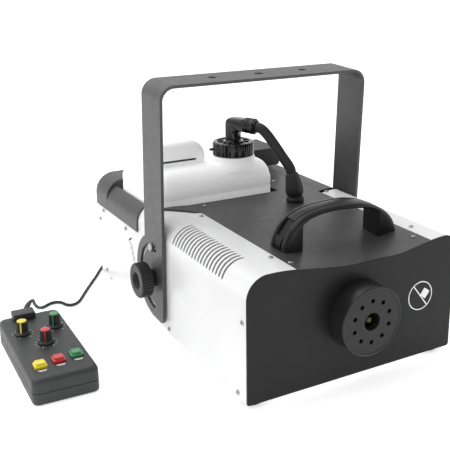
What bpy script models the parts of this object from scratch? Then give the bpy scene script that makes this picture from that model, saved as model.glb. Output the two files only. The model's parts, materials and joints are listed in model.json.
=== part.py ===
"""Stage fog machine with a hanging yoke, a lift-out fluid tank and a wired hand remote.

Frame: metres, +Z up, the nozzle points along -Y. All drawing dimensions below are in
millimetres in the machine's own frame: X = 0 is the middle of the case, Y = 0 is the
front face of the front panel, Z = 0 is the floor. SHIFT then moves the whole object so
that the origin is under the middle of its bounding box.
"""
import math
import bpy
import bmesh
from mathutils import Vector, Matrix

for _o in list(bpy.data.objects):
    bpy.data.objects.remove(_o, do_unlink=True)

# ---------------------------------------------------------------- driving dimensions (mm)
SHIFT = (86.26, -229.95, 0.0)   # machine frame -> object frame
FOOT = 8.0            # the case stands this high off the floor
HALF_W = 150.0        # half width of the front panel
LENGTH = 478.0        # front panel face to rear panel face
SHEET = 1.5           # sheet steel
GAP = 0.3             # clearance between neighbouring solids
R_LEFT = 28.0         # left shoulder radius
R_RIGHT = 15.0        # right shoulder radius
TOP_L = 154.0         # height of the left shoulder above the case bottom
TOP_R = 153.0
DISH = 142.6          # height of the dished middle
SEAM_L = -84.0        # white / black seam on the top, left
SEAM_R = 113.0        # the same, right
PIVOT_Y, PIVOT_Z = 243.0, 72.0
YOKE_IN = 152.0       # inner face of the yoke arms
YOKE_T = 4.0
YOKE_HALF = 28.5      # half width of the strap
YOKE_TOP = 335.5      # outer face of the top bar above the case bottom
CAP_X, CAP_Y = 6.0, 315.0
HOSE_X, HOSE_Y = 55.5, 224.0
TANK = (-130.0, 60.0, 285.0, 427.0)
NOZ_X, NOZ_Z = 2.0, 79.0
YOKE_LEAN = 2.5       # the yoke leans forward by this many degrees at rest
REM = (-354.0, -275.0, 133.0, 320.0)   # wired remote footprint before it is swung round its front left corner
REM_H = 33.0
REM_SWING = -2.0      # degrees about +Z
FADE = 165.0          # the dish in the top runs out this far behind the front panel

COLOURS = {
    "black": (0.018, 0.018, 0.02, 0.45, 0.0),
    "white": (0.80, 0.80, 0.81, 0.35, 0.0),
    "steel": (0.55, 0.55, 0.56, 0.30, 1.0),
    "brass": (0.70, 0.55, 0.28, 0.30, 1.0),
    "alu": (0.65, 0.66, 0.68, 0.35, 1.0),
    "rubber": (0.02, 0.02, 0.02, 0.85, 0.0),
    "plastic": (0.03, 0.03, 0.03, 0.5, 0.0),
    "tank": (0.86, 0.87, 0.86, 0.4, 0.0),
    "grey": (0.09, 0.09, 0.095, 0.55, 0.0),
    "yellow": (0.80, 0.60, 0.03, 0.4, 0.0),
    "green": (0.05, 0.40, 0.08, 0.4, 0.0),
    "red": (0.65, 0.03, 0.03, 0.4, 0.0),
    "pcb": (0.02, 0.18, 0.07, 0.4, 0.0),
    "glass": (0.02, 0.05, 0.10, 0.1, 0.0),
}
MATS = {}


def mat(key):
    if key not in MATS:
        r, g, b, rough, metal = COLOURS[key]
        m = bpy.data.materials.new("mat_" + key)
        m.use_nodes = True
        p = m.node_tree.nodes["Principled BSDF"]
        p.inputs["Base Color"].default_value = (r, g, b, 1.0)
        p.inputs["Roughness"].default_value = rough
        p.inputs["Metallic"].default_value = metal
        m.diffuse_color = (r, g, b, 1.0)
        MATS[key] = m
    return MATS[key]


def up(z):
    """Height above the case bottom -> height above the floor."""
    return z + FOOT


def world(p):
    return Vector(((p[0] + SHIFT[0]) / 1000.0, (p[1] + SHIFT[1]) / 1000.0, (p[2] + SHIFT[2]) / 1000.0))


def lean_point(p):
    """A point of the upright yoke, turned about the yoke's pivot to the rest position."""
    a = math.radians(YOKE_LEAN)
    dy, dz = p[1] - PIVOT_Y, p[2] - up(PIVOT_Z)
    return (p[0], PIVOT_Y + dy * math.cos(a) - dz * math.sin(a), up(PIVOT_Z) + dy * math.sin(a) + dz * math.cos(a))


def swing_point(p):
    """A point of the remote drawn square to the case, swung round its front left corner."""
    a = math.radians(REM_SWING)
    dx, dy = p[0] - REM[0], p[1] - REM[2]
    return (REM[0] + dx * math.cos(a) - dy * math.sin(a), REM[2] + dx * math.sin(a) + dy * math.cos(a), p[2])


def make(name, verts, faces, colour, origin=(0, 0, 0), smooth=True, angle=35.0, move=None):
    """Closed mesh from machine-frame points in mm, with its origin at a machine-frame point."""
    if move:
        verts = [move(v) for v in verts]
        origin = move(origin)
    base = world(origin)
    me = bpy.data.meshes.new(name)
    me.from_pydata([world(v) - base for v in verts], [], faces)
    bm = bmesh.new()
    bm.from_mesh(me)
    bmesh.ops.recalc_face_normals(bm, faces=bm.faces)
    bm.to_mesh(me)
    bm.free()
    if smooth:
        me.shade_smooth()
        me.set_sharp_from_angle(angle=math.radians(angle))
    ob = bpy.data.objects.new(name, me)
    ob.location = base
    me.materials.append(mat(colour))
    bpy.context.scene.collection.objects.link(ob)
    return ob


def rings(name, loops, colour, **kw):
    """Closed body through rings of equal point count, capped at both ends."""
    n = len(loops[0])
    verts = [p for ring in loops for p in ring]
    faces = []
    for i in range(len(loops) - 1):
        for j in range(n):
            k = (j + 1) % n
            faces.append((i * n + j, i * n + k, (i + 1) * n + k, (i + 1) * n + j))
    faces.append(tuple(range(n)))
    faces.append(tuple((len(loops) - 1) * n + j for j in reversed(range(n))))
    return make(name, verts, faces, colour, **kw)


def prism(name, outline, axis, a, b, colour, **kw):
    """Outline of (u, v) points extruded along an axis: x -> (y, z), y -> (x, z), z -> (x, y)."""
    def put(u, v, w):
        return {"x": (w, u, v), "y": (u, w, v), "z": (u, v, w)}[axis]
    return rings(name, [[put(u, v, a) for u, v in outline], [put(u, v, b) for u, v in outline]], colour, **kw)


def rect(u0, u1, v0, v1, r=0.0, n=4):
    """Rounded rectangle outline."""
    if r <= 0:
        return [(u0, v0), (u1, v0), (u1, v1), (u0, v1)]
    pts = []
    for cu, cv, a0 in ((u1 - r, v1 - r, 0), (u0 + r, v1 - r, 90), (u0 + r, v0 + r, 180), (u1 - r, v0 + r, 270)):
        for i in range(n + 1):
            t = math.radians(a0 + 90.0 * i / n)
            pts.append((cu + r * math.cos(t), cv + r * math.sin(t)))
    return pts


def circle(cu, cv, r, n=24, a0=0.0):
    return [(cu + r * math.cos(a0 + 2 * math.pi * i / n), cv + r * math.sin(a0 + 2 * math.pi * i / n)) for i in range(n)]


def block(name, x0, x1, y0, y1, z0, z1, colour, r=0.0, axis="z", **kw):
    if axis == "z":
        return prism(name, rect(x0, x1, y0, y1, r), "z", z0, z1, colour, **kw)
    if axis == "y":
        return prism(name, rect(x0, x1, z0, z1, r), "y", y0, y1, colour, **kw)
    return prism(name, rect(y0, y1, z0, z1, r), "x", x0, x1, colour, **kw)


def turned(name, axis, centre, profile, colour, n=32, **kw):
    """Solid of revolution. profile = (radius, distance along the axis); ends are capped flat."""
    cx, cy, cz = centre
    loops = []
    for r, h in profile:
        ring = []
        for i in range(n):
            t = 2 * math.pi * i / n
            c, s = r * math.cos(t), r * math.sin(t)
            ring.append({"x": (cx + h, cy + c, cz + s), "y": (cx + c, cy + h, cz + s), "z": (cx + c, cy + s, cz + h)}[axis])
        loops.append(ring)
    return rings(name, loops, colour, **kw)


def sweep_loops(path, radii, n=12, ref=None, square=1.0):
    """Rings along a path with a parallel frame. square above 1 pushes the ring's corners out, to a box with broken corners."""
    pts = [Vector(p) for p in path]
    loops = []
    side = None
    for i, p in enumerate(pts):
        d = (pts[min(i + 1, len(pts) - 1)] - pts[max(i - 1, 0)]).normalized()
        if side is None:
            ref = ref or (Vector((0, 0, 1)) if abs(d.z) < 0.9 else Vector((1, 0, 0)))
            side = d.cross(ref).normalized()
        side = (side - d * side.dot(d)).normalized()
        other = d.cross(side)
        ring = []
        for j in range(n):
            c, s = math.cos(2 * math.pi * j / n), math.sin(2 * math.pi * j / n)
            ring.append(tuple(p + (side * c + other * s) * radii[i] * min(1.0 / max(abs(c), abs(s)), square if radii[i] < 10 else 1.0)))
        loops.append(ring)
    return loops


def hide(ob):
    ob.hide_render = True
    ob.display_type = "WIRE"
    return ob


def cut(ob, cutter, op="DIFFERENCE"):
    m = ob.modifiers.new("cut_" + cutter.name, "BOOLEAN")
    m.operation = op
    m.solver = "EXACT"
    m.object = hide(cutter)
    return ob


def join_shapes(name, shapes, colour, **kw):
    """Several closed shapes, not touching each other, as one helper."""
    verts, faces = [], []
    for loops in shapes:
        base = len(verts)
        n = len(loops[0])
        verts += [p for ring in loops for p in ring]
        for i in range(len(loops) - 1):
            for j in range(n):
                k = (j + 1) % n
                faces.append((base + i * n + j, base + i * n + k, base + (i + 1) * n + k, base + (i + 1) * n + j))
        faces.append(tuple(base + j for j in range(n)))
        faces.append(tuple(base + (len(loops) - 1) * n + j for j in reversed(range(n))))
    return make(name, verts, faces, colour, **kw)


# ---------------------------------------------------------------- case section
def top_z(x):
    """Top of the case between the shoulders: high at the seams, dished in the middle."""
    if x < -118:
        return TOP_L
    if x < 0:
        return TOP_L - (TOP_L - DISH) * (0.5 - 0.5 * math.cos(math.pi * (x + 118) / 118))
    if x < 50:
        return DISH
    if x < 138:
        return TOP_R - (TOP_R - DISH) * (0.5 + 0.5 * math.cos(math.pi * (x - 50) / 88))
    return TOP_R


def faded_z(x, y):
    """Top of the black cover: dished at the front panel, level from seam to seam further back."""
    if x <= SEAM_L or x >= SEAM_R:
        return top_z(x)
    a, b = top_z(SEAM_L), top_z(SEAM_R)
    level = a + (b - a) * (x - SEAM_L) / (SEAM_R - SEAM_L)
    f = 0.5 + 0.5 * math.cos(math.pi * min(1.0, max(0.0, y / FADE)))
    return level + (top_z(x) - level) * f


def section(off, x_from=None, x_to=None, z_low=0.0, n_arc=6, left=True, right=True):
    """Case outline moved inward by off, from low on the left side over the top to low on the right."""
    pts = []
    if left:
        pts.append((-HALF_W + off, up(z_low)))
        cz = TOP_L - R_LEFT
        for i in range(n_arc + 1):
            t = math.pi - 0.5 * math.pi * i / n_arc
            pts.append((-HALF_W + R_LEFT + (R_LEFT - off) * math.cos(t), up(cz + (R_LEFT - off) * math.sin(t))))
    for x in (-112, -103, -94, -84, -72, -60, -45, -30, -15, 0, 50, 65, 77, 88, 99, 113, 124):
        pts.append((float(x), up(top_z(x) - off)))
    if right:
        cz = TOP_R - R_RIGHT
        for i in range(n_arc + 1):
            t = 0.5 * math.pi - 0.5 * math.pi * i / n_arc
            pts.append((HALF_W - R_RIGHT + (R_RIGHT - off) * math.cos(t), up(cz + (R_RIGHT - off) * math.sin(t))))
        pts.append((HALF_W - off, up(z_low)))
    return pts


def between(pts, x0, x1):
    """The part of a section between two seams, cut exactly at the seams."""
    out = []
    for (xa, za), (xb, zb) in zip(pts, pts[1:]):
        lo, hi = max(min(xa, xb), x0), min(max(xa, xb), x1)
        if hi < lo:
            continue
        if abs(xb - xa) < 1e-9:
            seg = [(xa, za), (xb, zb)]
        else:
            f = lambda x: (x, za + (zb - za) * (x - xa) / (xb - xa))
            seg = [f(lo), f(hi)]
        for q in seg:
            if not out or math.hypot(q[0] - out[-1][0], q[1] - out[-1][1]) > 1e-6:
                out.append(q)
    return out


def sheet(name, outer, inner, y0, y1, colour, **kw):
    """Bent sheet: outer and inner outlines extruded along Y; y1 may be a function of the outer point's fraction."""
    ring = list(outer) + list(reversed(inner))
    n = len(outer)
    if callable(y1):
        m = len(inner)
        ends = [y1(i / (n - 1)) for i in range(n)] + [y1(1 - i / (m - 1)) for i in range(m)]
    else:
        ends = [y1] * len(ring)
    a = [(x, y0, z) for x, z in ring]
    b = [(x, e, z) for (x, z), e in zip(ring, ends)]
    return rings(name, [a, b], colour, **kw)


# ---------------------------------------------------------------- case
tray = block("base_tray", -144.0, 144.0, 3.6, 476.2, up(0), up(20), "white", r=2)
cut(tray, block("k_tray", -142.4, 142.4, 5.2, 474.6, up(1.6), up(30), "steel", r=1))

front_outline = [(-HALF_W + 3, up(0)), (-HALF_W, up(3))] + section(0.0, z_low=3.0, n_arc=8)[1:-1] + [(HALF_W, up(3)), (HALF_W - 3, up(0))]
front = prism("front_panel", front_outline, "y", 0.0, 3.0, "black")
cut(front, prism("k_front", circle(NOZ_X, up(NOZ_Z), 15.0, 28), "y", -2, 6, "steel"))

o1, o2 = 0.6, 0.6 + SHEET
# white side covers, front half
left_out = between(section(o1), -400, SEAM_L - 0.15)
left_in = between(section(o2), -400, SEAM_L - 0.15)
cover_l = sheet("front_cover_left", left_out, left_in, 3.3, lambda f: 222.0 + 20.0 * max(0.0, (f - 0.25) / 0.75), "white")
slit_shapes = []
for i in range(18):
    y = 61.0 + i * 7.85
    r = rect(-160.0, -121.0, up(134.0), up(170.0))
    slit_shapes.append([[(u, y - 1.9, v) for u, v in r], [(u, y + 1.9, v) for u, v in r]])
cut(cover_l, join_shapes("k_slits", slit_shapes, "steel"))

right_out = between(section(o1), SEAM_R + 0.15, 400)
right_in = between(section(o2), SEAM_R + 0.15, 400)
cover_r = sheet("front_cover_right", right_out, right_in, 3.3, lambda f: 242.0 - 20.0 * min(1.0, f / 0.75), "white")
slit_shapes = []
for i in range(18):
    y = 61.0 + i * 7.85
    r = rect(131.0, 160.0, up(118.0), up(147.0))
    slit_shapes.append([[(u, y - 1.9, v) for u, v in r], [(u, y + 1.9, v) for u, v in r]])
cut(cover_r, join_shapes("k_slits_r", slit_shapes, "steel"))

# white rear side panels, set in a little so that they pass under the covers
p1, p2 = 3.0, 3.0 + SHEET
rsl = sheet("rear_side_left", between(section(p1), -400, SEAM_L - 0.15), between(section(p2), -400, SEAM_L - 0.15), 214.0, 476.2, "white")
cut(rsl, block("k_rsl_a", -160, -60, 318.0, 490, up(122.0), up(200), "steel"))
cut(rsl, block("k_rsl_b", -134.6, -60, 281.5, 490, up(100.0), up(200), "steel"))
louvres = []
for i in range(6):
    z = 54.0 + i * 7.6
    d = 3.2 if i < 5 else -3.2
    q = [(331.0 + i * 3.4 - 5.5, up(z) - d - 1.3), (331.0 + i * 3.4 + 5.5, up(z) + d - 1.3), (331.0 + i * 3.4 + 5.5, up(z) + d + 1.3), (331.0 + i * 3.4 - 5.5, up(z) - d + 1.3)]
    louvres.append([[(-170.0, u, v) for u, v in q], [(-130.0, u, v) for u, v in q]])
cut(rsl, join_shapes("k_louvres", louvres, "steel"))
rsr = sheet("rear_side_right", between(section(p1, z_low=0), 140.0, 400)[-8:], between(section(p2, z_low=0), 140.0, 400)[-8:], 214.0, 476.2, "white")
cut(rsr, block("k_rsr_a", 100, 160, 200.0, 490, up(122.0), up(200), "steel"))
shapes_r = []
for i in range(6):
    z = 54.0 + i * 7.6
    yc = 331.0 + i * 3.4
    q = [(yc - 5.5, up(z) - 3.2 - 1.3), (yc + 5.5, up(z) + 3.2 - 1.3), (yc + 5.5, up(z) + 3.2 + 1.3), (yc - 5.5, up(z) - 3.2 + 1.3)]
    shapes_r.append([[(130.0, u, v) for u, v in q], [(170.0, u, v) for u, v in q]])
cut(rsr, join_shapes("k_louvres_r", shapes_r, "steel"))

# black top cover: dished at the front between the white covers, level further back, over the right shoulder, open under the tank
tc_out = between(section(o1, z_low=113.0), -126.0, 400)
tc_in = between(section(o2, z_low=113.0), -126.0, 400)
tc_loops = []
for y in (3.3, 20.0, 40.0, 60.0, 80.0, 100.0, 120.0, 142.0, FADE, 431.0):
    tc_loops.append([(x, y, z + (faded_z(x, y) - top_z(x) if SEAM_L < x < SEAM_R else 0.0)) for x, z in list(tc_out) + list(reversed(tc_in))])
tc = rings("top_cover", tc_loops, "black")
cut(tc, block("k_tc_a", SEAM_R - 0.15, 170, -5, 250.0, up(90.0), up(200), "steel"))
cut(tc, block("k_tc_b", -134.0, 64.0, 281.8, 440, up(100.0), up(200), "steel"))
cut(tc, prism("k_tc_c", [(-150.0, -10.0), (SEAM_L + 0.15, -10.0), (SEAM_L + 0.15, 243.5), (-126.0, 277.7), (-150.0, 277.7)], "z", up(100.0), up(200), "steel"))

# black left shoulder strip beside the tank
shoulder = sheet("rear_shoulder_left", between(section(o1, z_low=113.0, n_arc=10), -400, -133.5), between(section(o2, z_low=113.0, n_arc=10), -400, -133.5), 314.0, 431.0, "black")


def rear_section(off, z_low):
    pts = [(-HALF_W + 0.6 + off, up(z_low))]
    for i in range(9):
        t = math.pi - 0.5 * math.pi * i / 8
        pts.append((-120.0 + (29.4 - off) * math.cos(t), up(130.6 + (29.4 - off) * math.sin(t))))
    for i in range(7):
        t = 0.5 * math.pi - 0.5 * math.pi * i / 6
        pts.append((134.4 + (15.0 - off) * math.cos(t), up(145.0 + (15.0 - off) * math.sin(t))))
    pts.append((HALF_W - 0.6 - off, up(z_low)))
    return pts


rear = prism("rear_cover", rear_section(0.0, 113.0), "y", 431.3, 478.0, "black")
cut(rear, prism("k_rear", rear_section(SHEET, 90.0), "y", 432.8, 490.0, "steel"))
cut(rear, block("k_rear_notch", -147.8, 147.8, 425.0, 440.0, up(90.0), up(123.0), "steel"))

rear_in = rear_section(SHEET + GAP, 123.6)
prism("rear_panel", [(144.4, up(0.0)), (-144.4, up(0.0)), (-144.4, up(123.6))] + rear_in + [(144.4, up(123.6))], "y", 476.5, 478.0, "black")

well = prism("tank_well", rect(-133.4, 63.4, 282.4, 430.4, 14), "z", up(92.0), up(139.5), "black")
cut(well, prism("k_well", rect(-131.9, 61.9, 283.6, 429.2, 12.8), "z", up(93.5), up(150), "steel"))

# ---------------------------------------------------------------- tank
tx0, tx1, ty0, ty1 = TANK
loops = []
def tank_ring(inset, z, r=20.0):
    return [(u, v, up(z)) for u, v in rect(tx0 + inset, tx1 - inset, ty0 + inset, ty1 - inset, max(r - inset, 3.0), 5)]
loops.append(tank_ring(3.0, 94.0))
loops.append(tank_ring(0.0, 97.0))
loops.append(tank_ring(0.0, 174.0))
for i in range(1, 6):
    t = math.radians(90.0 * i / 5)
    loops.append(tank_ring(20.0 - 20.0 * math.cos(t), 174.0 + 24.0 * math.sin(t), r=24.0))
tank = rings("tank", loops, "tank", angle=50)
tank_neck = turned("k_neck", "z", (CAP_X, CAP_Y, up(0)), [(31.5, 185.0), (31.5, 203.0), (30.0, 204.5), (30.0, 206.7)], "tank", n=36)
cut(tank, tank_neck, "UNION")
hump_pts = []
for cu, cv, rr, a0, a1 in ((-102.0, 205.5, 26.0, 180, 90), (-60.0, 207.0, 26.0, 90, 0)):
    for i in range(7):
        t = math.radians(a0 + (a1 - a0) * i / 6)
        hump_pts.append((cu + rr * math.cos(t), up(cv + rr * math.sin(t))))
hump_pts = [(-128.0, up(186.0))] + hump_pts + [(-34.0, up(186.0))]
hump_loops = []
for inset, y in ((4.0, 322.0), (1.0, 324.5), (0.0, 328.0), (0.0, 372.0), (1.0, 375.5), (4.0, 378.0)):
    cx = -81.0
    hump_loops.append([(cx + (u - cx) * (1 - inset / 46.0), y, v - (inset if v > up(187) else 0)) for u, v in hump_pts])
cut(tank, rings("k_hump", hump_loops, "tank"), "UNION")
cut(tank, block("k_groove", -140, -50.0, 310.0, 334.0, up(203.5), up(208.0), "steel"))

cap_profile = [(30.5, 207.0), (30.5, 224.0), (28.5, 226.5), (23.5, 226.5), (23.5, 225.0), (15.0, 225.0), (15.0, 227.5), (11.0, 228.5)]
cap = turned("tank_cap", "z", (CAP_X, CAP_Y, up(0)), cap_profile, "black", n=32, origin=(CAP_X, CAP_Y, up(207)))

hd = Vector((HOSE_X - CAP_X, HOSE_Y - CAP_Y, 0.0)).normalized()
def on_line(s, z):
    return (CAP_X + hd.x * s, CAP_Y + hd.y * s, up(z))
path, radii = [], []
for s, z, r in ((0.0, 228.9, 8.8), (0.0, 238.0, 9.0), (0.0, 242.0, 9.0), (1.0, 246.5, 9.0), (3.8, 250.2, 9.2), (8.0, 251.8, 9.4), (14.0, 252.0, 9.4), (22.4, 252.0, 9.4), (23.0, 252.0, 11.5), (37.4, 251.4, 11.5), (38.0, 251.3, 9.9), (40.0, 251.0, 9.4)):
    path.append(on_line(s, z))
    radii.append(r)
elbow = rings("cap_elbow", sweep_loops(path, radii, 16, ref=hd, square=1.2), "black")

hose_pts = ((40.5, 250.9), (44.5, 250.3), (50.6, 247.6), (56.6, 242.6), (63.1, 235.8), (69.6, 228.4), (76.1, 220.8), (82.6, 212.8), (88.3, 206.4), (92.9, 201.0), (95.9, 195.9), (97.0, 191.4))
hose = rings("fluid_hose", sweep_loops([on_line(s, z) for s, z in hose_pts], [7.2] * len(hose_pts), 14), "rubber")
sleeve_pts = ((103.6, 151.1, 12.0), (103.6, 157.0, 12.0), (103.5, 157.3, 10.4), (103.4, 160.0, 10.2), (103.1, 161.5, 12.0), (102.3, 167.0, 12.6), (101.3, 173.5, 12.0), (99.7, 181.0, 10.6), (97.1, 190.9, 8.8))
sleeve = rings("hose_gland", sweep_loops([on_line(s, z) for s, z, r in sleeve_pts], [r for s, z, r in sleeve_pts], 18), "black")

# ---------------------------------------------------------------- carrying handle
rim = [(-67.5, 149.0), (-66.0, 159.0), (-61.5, 168.5), (-56.5, 176.5), (-49.0, 183.6), (-41.0, 188.4), (-31.5, 191.8), (-21.0, 194.0), (-9.8, 195.4), (4.5, 196.3), (19.0, 196.4), (32.0, 195.8), (44.0, 194.2), (55.0, 191.8), (66.0, 188.2), (76.0, 183.2), (84.5, 177.6), (92.0, 171.0), (97.5, 163.6), (100.8, 156.0), (102.3, 149.0)]
win = [(-39.3, 149.0), (-39.3, 178.6), (-34.0, 182.0), (-27.6, 184.9), (-19.0, 187.0), (-9.6, 188.6), (11.4, 189.6), (32.9, 188.4), (42.0, 187.2), (52.1, 185.4), (60.0, 183.4), (66.2, 181.6), (72.4, 178.8), (72.4, 149.0)]
foot_z = {"l": 151.6, "r": 146.0}
rim2 = [(x, up(z)) for x, z in rim]
win2 = [(x, up(z)) for x, z in win]
# feet follow the dished cover with a small clearance
def foot_line(xs):
    return [(x, up(top_z(x) - 0.6 + GAP)) for x in xs]


def foot_at(u, y):
    return up(faded_z(u, y) - 0.6 + GAP)

h_outline = rim2[1:-1] + foot_line((102.3, 97.0, 90.0, 82.0, 72.4)) + list(reversed(win2[1:-1])) + foot_line((-39.3, -48.0, -58.0, -67.5))
h_loops = []
for inset, y in ((1.6, 57.0), (0.0, 59.0), (0.0, 74.0), (0.0, 89.0), (1.6, 91.0)):
    ring = []
    m = len(h_outline)
    for i, (u, v) in enumerate(h_outline):
        a, b = Vector(h_outline[i - 1]), Vector(h_outline[(i + 1) % m])
        d = (b - a).normalized()
        nrm = Vector((d.y, -d.x))
        low = v < up(top_z(u) + 2.0)
        if low:
            ring.append((u, y, foot_at(u, y)))
            continue
        ring.append((u + nrm.x * inset, y, v + nrm.y * inset))
    h_loops.append(ring)
handle = rings("carry_handle", h_loops, "black")

receiver = prism("receiver_housing", rect(66.0, 127.0, up(160.3), up(188.5), 3.0, 4), "y", 383.0, 452.0, "black")

# ---------------------------------------------------------------- feet
for tag, fx, fy in (("front_left", -132.0, 20.0), ("front_right", 132.0, 20.0), ("rear_left", -132.0, 452.0), ("rear_right", 132.0, 452.0)):
    turned("foot_" + tag, "z", (fx, fy, 0.0), [(9.0, 0.0), (11.0, 1.5), (11.0, FOOT - GAP)], "rubber", n=20)

# ---------------------------------------------------------------- nozzle and fog path
guard = turned("nozzle_guard", "y", (NOZ_X, 0.0, up(NOZ_Z)), [(42.0, -27.0), (43.0, -26.0), (43.0, -0.3)], "black", n=40)
holes = [[[(u, -30.0, v) for u, v in circle(NOZ_X, up(NOZ_Z), 11.0, 24)], [(u, 4.0, v) for u, v in circle(NOZ_X, up(NOZ_Z), 11.0, 24)]]]
for i in range(10):
    t = math.radians(36 * i)
    c = circle(NOZ_X + 26.0 * math.sin(t), up(NOZ_Z) + 26.0 * math.cos(t), 2.8, 10)
    holes.append([[(u, -30.0, v) for u, v in c], [(u, -14.0, v) for u, v in c]])
cut(guard, join_shapes("k_guard", holes, "steel"))
turned("nozzle_tip", "y", (NOZ_X, 0.0, up(NOZ_Z)), [(3.0, -21.0), (5.0, -19.0), (5.0, -8.0), (9.0, -8.0), (9.0, 24.7)], "brass", n=20)
block("heater_block", -52.0, 52.0, 25.0, 205.0, up(44.0), up(112.0), "alu", r=6, axis="y")
block("heater_stand", -46.0, 46.0, 60.0, 170.0, up(1.9), up(43.7), "steel", r=0)
turned("pump_body", "y", (88.0, 0.0, up(44.0)), [(15.0, 244.0), (24.0, 250.0), (24.0, 322.0), (15.0, 328.0)], "steel", n=24)
feed = [(88.0, 243.6, up(44.0)), (88.0, 236.0, up(44.4)), (84.0, 228.0, up(47.0)), (70.0, 222.0, up(56.0)), (50.0, 219.0, up(66.0)), (30.0, 219.0, up(74.0)), (14.0, 219.0, up(78.0)), (4.0, 217.0, up(79.0)), (0.5, 212.5, up(79.0)), (0.0, 207.5, up(79.0)), (0.0, 205.4, up(79.0))]
rings("feed_tube", sweep_loops(feed, [3.0] * len(feed), 8), "brass")
block("power_relay", -126.0, -84.0, 330.0, 392.0, up(1.9), up(40.0), "plastic", r=3)
block("control_board", -62.0, 62.0, 452.0, 453.6, up(24.0), up(104.0), "pcb")

# ---------------------------------------------------------------- yoke
def arm_outline():
    """Side view (y, z) of an arm: strap that widens into a round plate behind the strap's front edge."""
    R = 58.0
    pts = [(PIVOT_Y - YOKE_HALF, up(YOKE_TOP)), (PIVOT_Y - YOKE_HALF, up(PIVOT_Z - R + 6)), (PIVOT_Y - YOKE_HALF + 6, up(PIVOT_Z - R))]
    a_end = math.acos(YOKE_HALF / R)
    for i in range(17):
        t = -math.pi / 2 + (math.pi / 2 + a_end) * i / 16
        pts.append((PIVOT_Y + R * math.cos(t), up(PIVOT_Z + R * math.sin(t))))
    pts.append((PIVOT_Y + YOKE_HALF, up(PIVOT_Z + 62.0)))
    pts.append((PIVOT_Y + YOKE_HALF, up(YOKE_TOP)))
    return pts


def yoke_profile(off, r):
    """Front view (x, z) of the bent strap's face, at a given offset from the inner face."""
    x, zt = YOKE_IN + off, YOKE_TOP - YOKE_T + off
    pts = [(-x, up(0.0))]
    for i in range(9):
        t = math.pi - 0.5 * math.pi * i / 8
        pts.append((-(x - r) + r * math.cos(t), up(zt - r + r * math.sin(t))))
    for i in range(9):
        t = 0.5 * math.pi - 0.5 * math.pi * i / 8
        pts.append(((x - r) + r * math.cos(t), up(zt - r + r * math.sin(t))))
    pts.append((x, up(0.0)))
    return pts


y_outer, y_inner = yoke_profile(YOKE_T, 20.0), yoke_profile(0.0, 16.0)
yoke = prism("yoke", y_outer + list(reversed(y_inner)), "y", PIVOT_Y - 62.0, PIVOT_Y + 62.0, "black", origin=(0.0, PIVOT_Y, up(PIVOT_Z)), move=lean_point)
cut(yoke, prism("k_arm", arm_outline(), "x", -170.0, 170.0, "steel", move=lean_point), "INTERSECT")
slot = []
for i in range(19):
    t = math.radians(97 - 187 * i / 18)
    slot.append((PIVOT_Y + 46.0 * math.cos(t), up(PIVOT_Z + 46.0 * math.sin(t))))
for i in range(18, -1, -1):
    t = math.radians(97 - 187 * i / 18)
    slot.append((PIVOT_Y + 38.0 * math.cos(t), up(PIVOT_Z + 38.0 * math.sin(t))))
cut(yoke, prism("k_slot", slot, "x", -170.0, 170.0, "steel", move=lean_point))
cut(yoke, prism("k_pivot_hole", circle(PIVOT_Y, up(PIVOT_Z), 5.0, 20), "x", -170.0, 170.0, "steel"))
bar_holes = []
for hx, hr in ((-69.0, 5.5), (0.0, 6.5), (69.0, 5.5)):
    c = circle(hx, PIVOT_Y, hr, 18)
    bar_holes.append([[(u, v, up(YOKE_TOP - 20)) for u, v in c], [(u, v, up(YOKE_TOP + 10)) for u, v in c]])
cut(yoke, join_shapes("k_bar_holes", bar_holes, "steel", move=lean_point))

GUIDE_Y, GUIDE_Z = PIVOT_Y + 42.0 * math.cos(math.radians(86)), PIVOT_Z + 42.0 * math.sin(math.radians(86))
for side, tag in ((-1, "left"), (1, "right")):
    def sx(v):
        return side * v
    turned("yoke_bush_" + tag, "x", (0, PIVOT_Y, up(PIVOT_Z)), [(4.6, sx(147.4)), (4.6, sx(164.0))], "steel", n=20, origin=(sx(156.0), PIVOT_Y, up(PIVOT_Z)))
    turned("guide_screw_" + tag, "x", (0, GUIDE_Y, up(GUIDE_Z)), [(3.0, sx(147.4)), (3.0, sx(156.4)), (6.0, sx(156.4)), (6.0, sx(158.4)), (4.0, sx(159.6))], "steel", n=18)
    knob = []
    n = 48
    for r, h in ((12.0, 156.4), (12.0, 164.3), (22.8, 165.0), (23.6, 166.0), (23.6, 180.0), (22.6, 181.2), (11.0, 181.2), (9.5, 178.0)):
        ring = []
        for i in range(n):
            t = 2 * math.pi * i / n
            rr = r
            if h in (166.0, 180.0):
                rr = r - 0.9 * (1 if (i // 2) % 2 else 0)
            ring.append((sx(h), PIVOT_Y + rr * math.cos(t), up(PIVOT_Z) + rr * math.sin(t)))
        knob.append(ring)
    kn = rings("knob_" + tag, knob, "plastic", origin=(sx(160.0), PIVOT_Y, up(PIVOT_Z)))
    cut(kn, turned("k_knob_" + tag, "x", (0, PIVOT_Y, up(PIVOT_Z)), [(5.0, sx(150.0)), (5.0, sx(168.0))], "steel", n=20))

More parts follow.
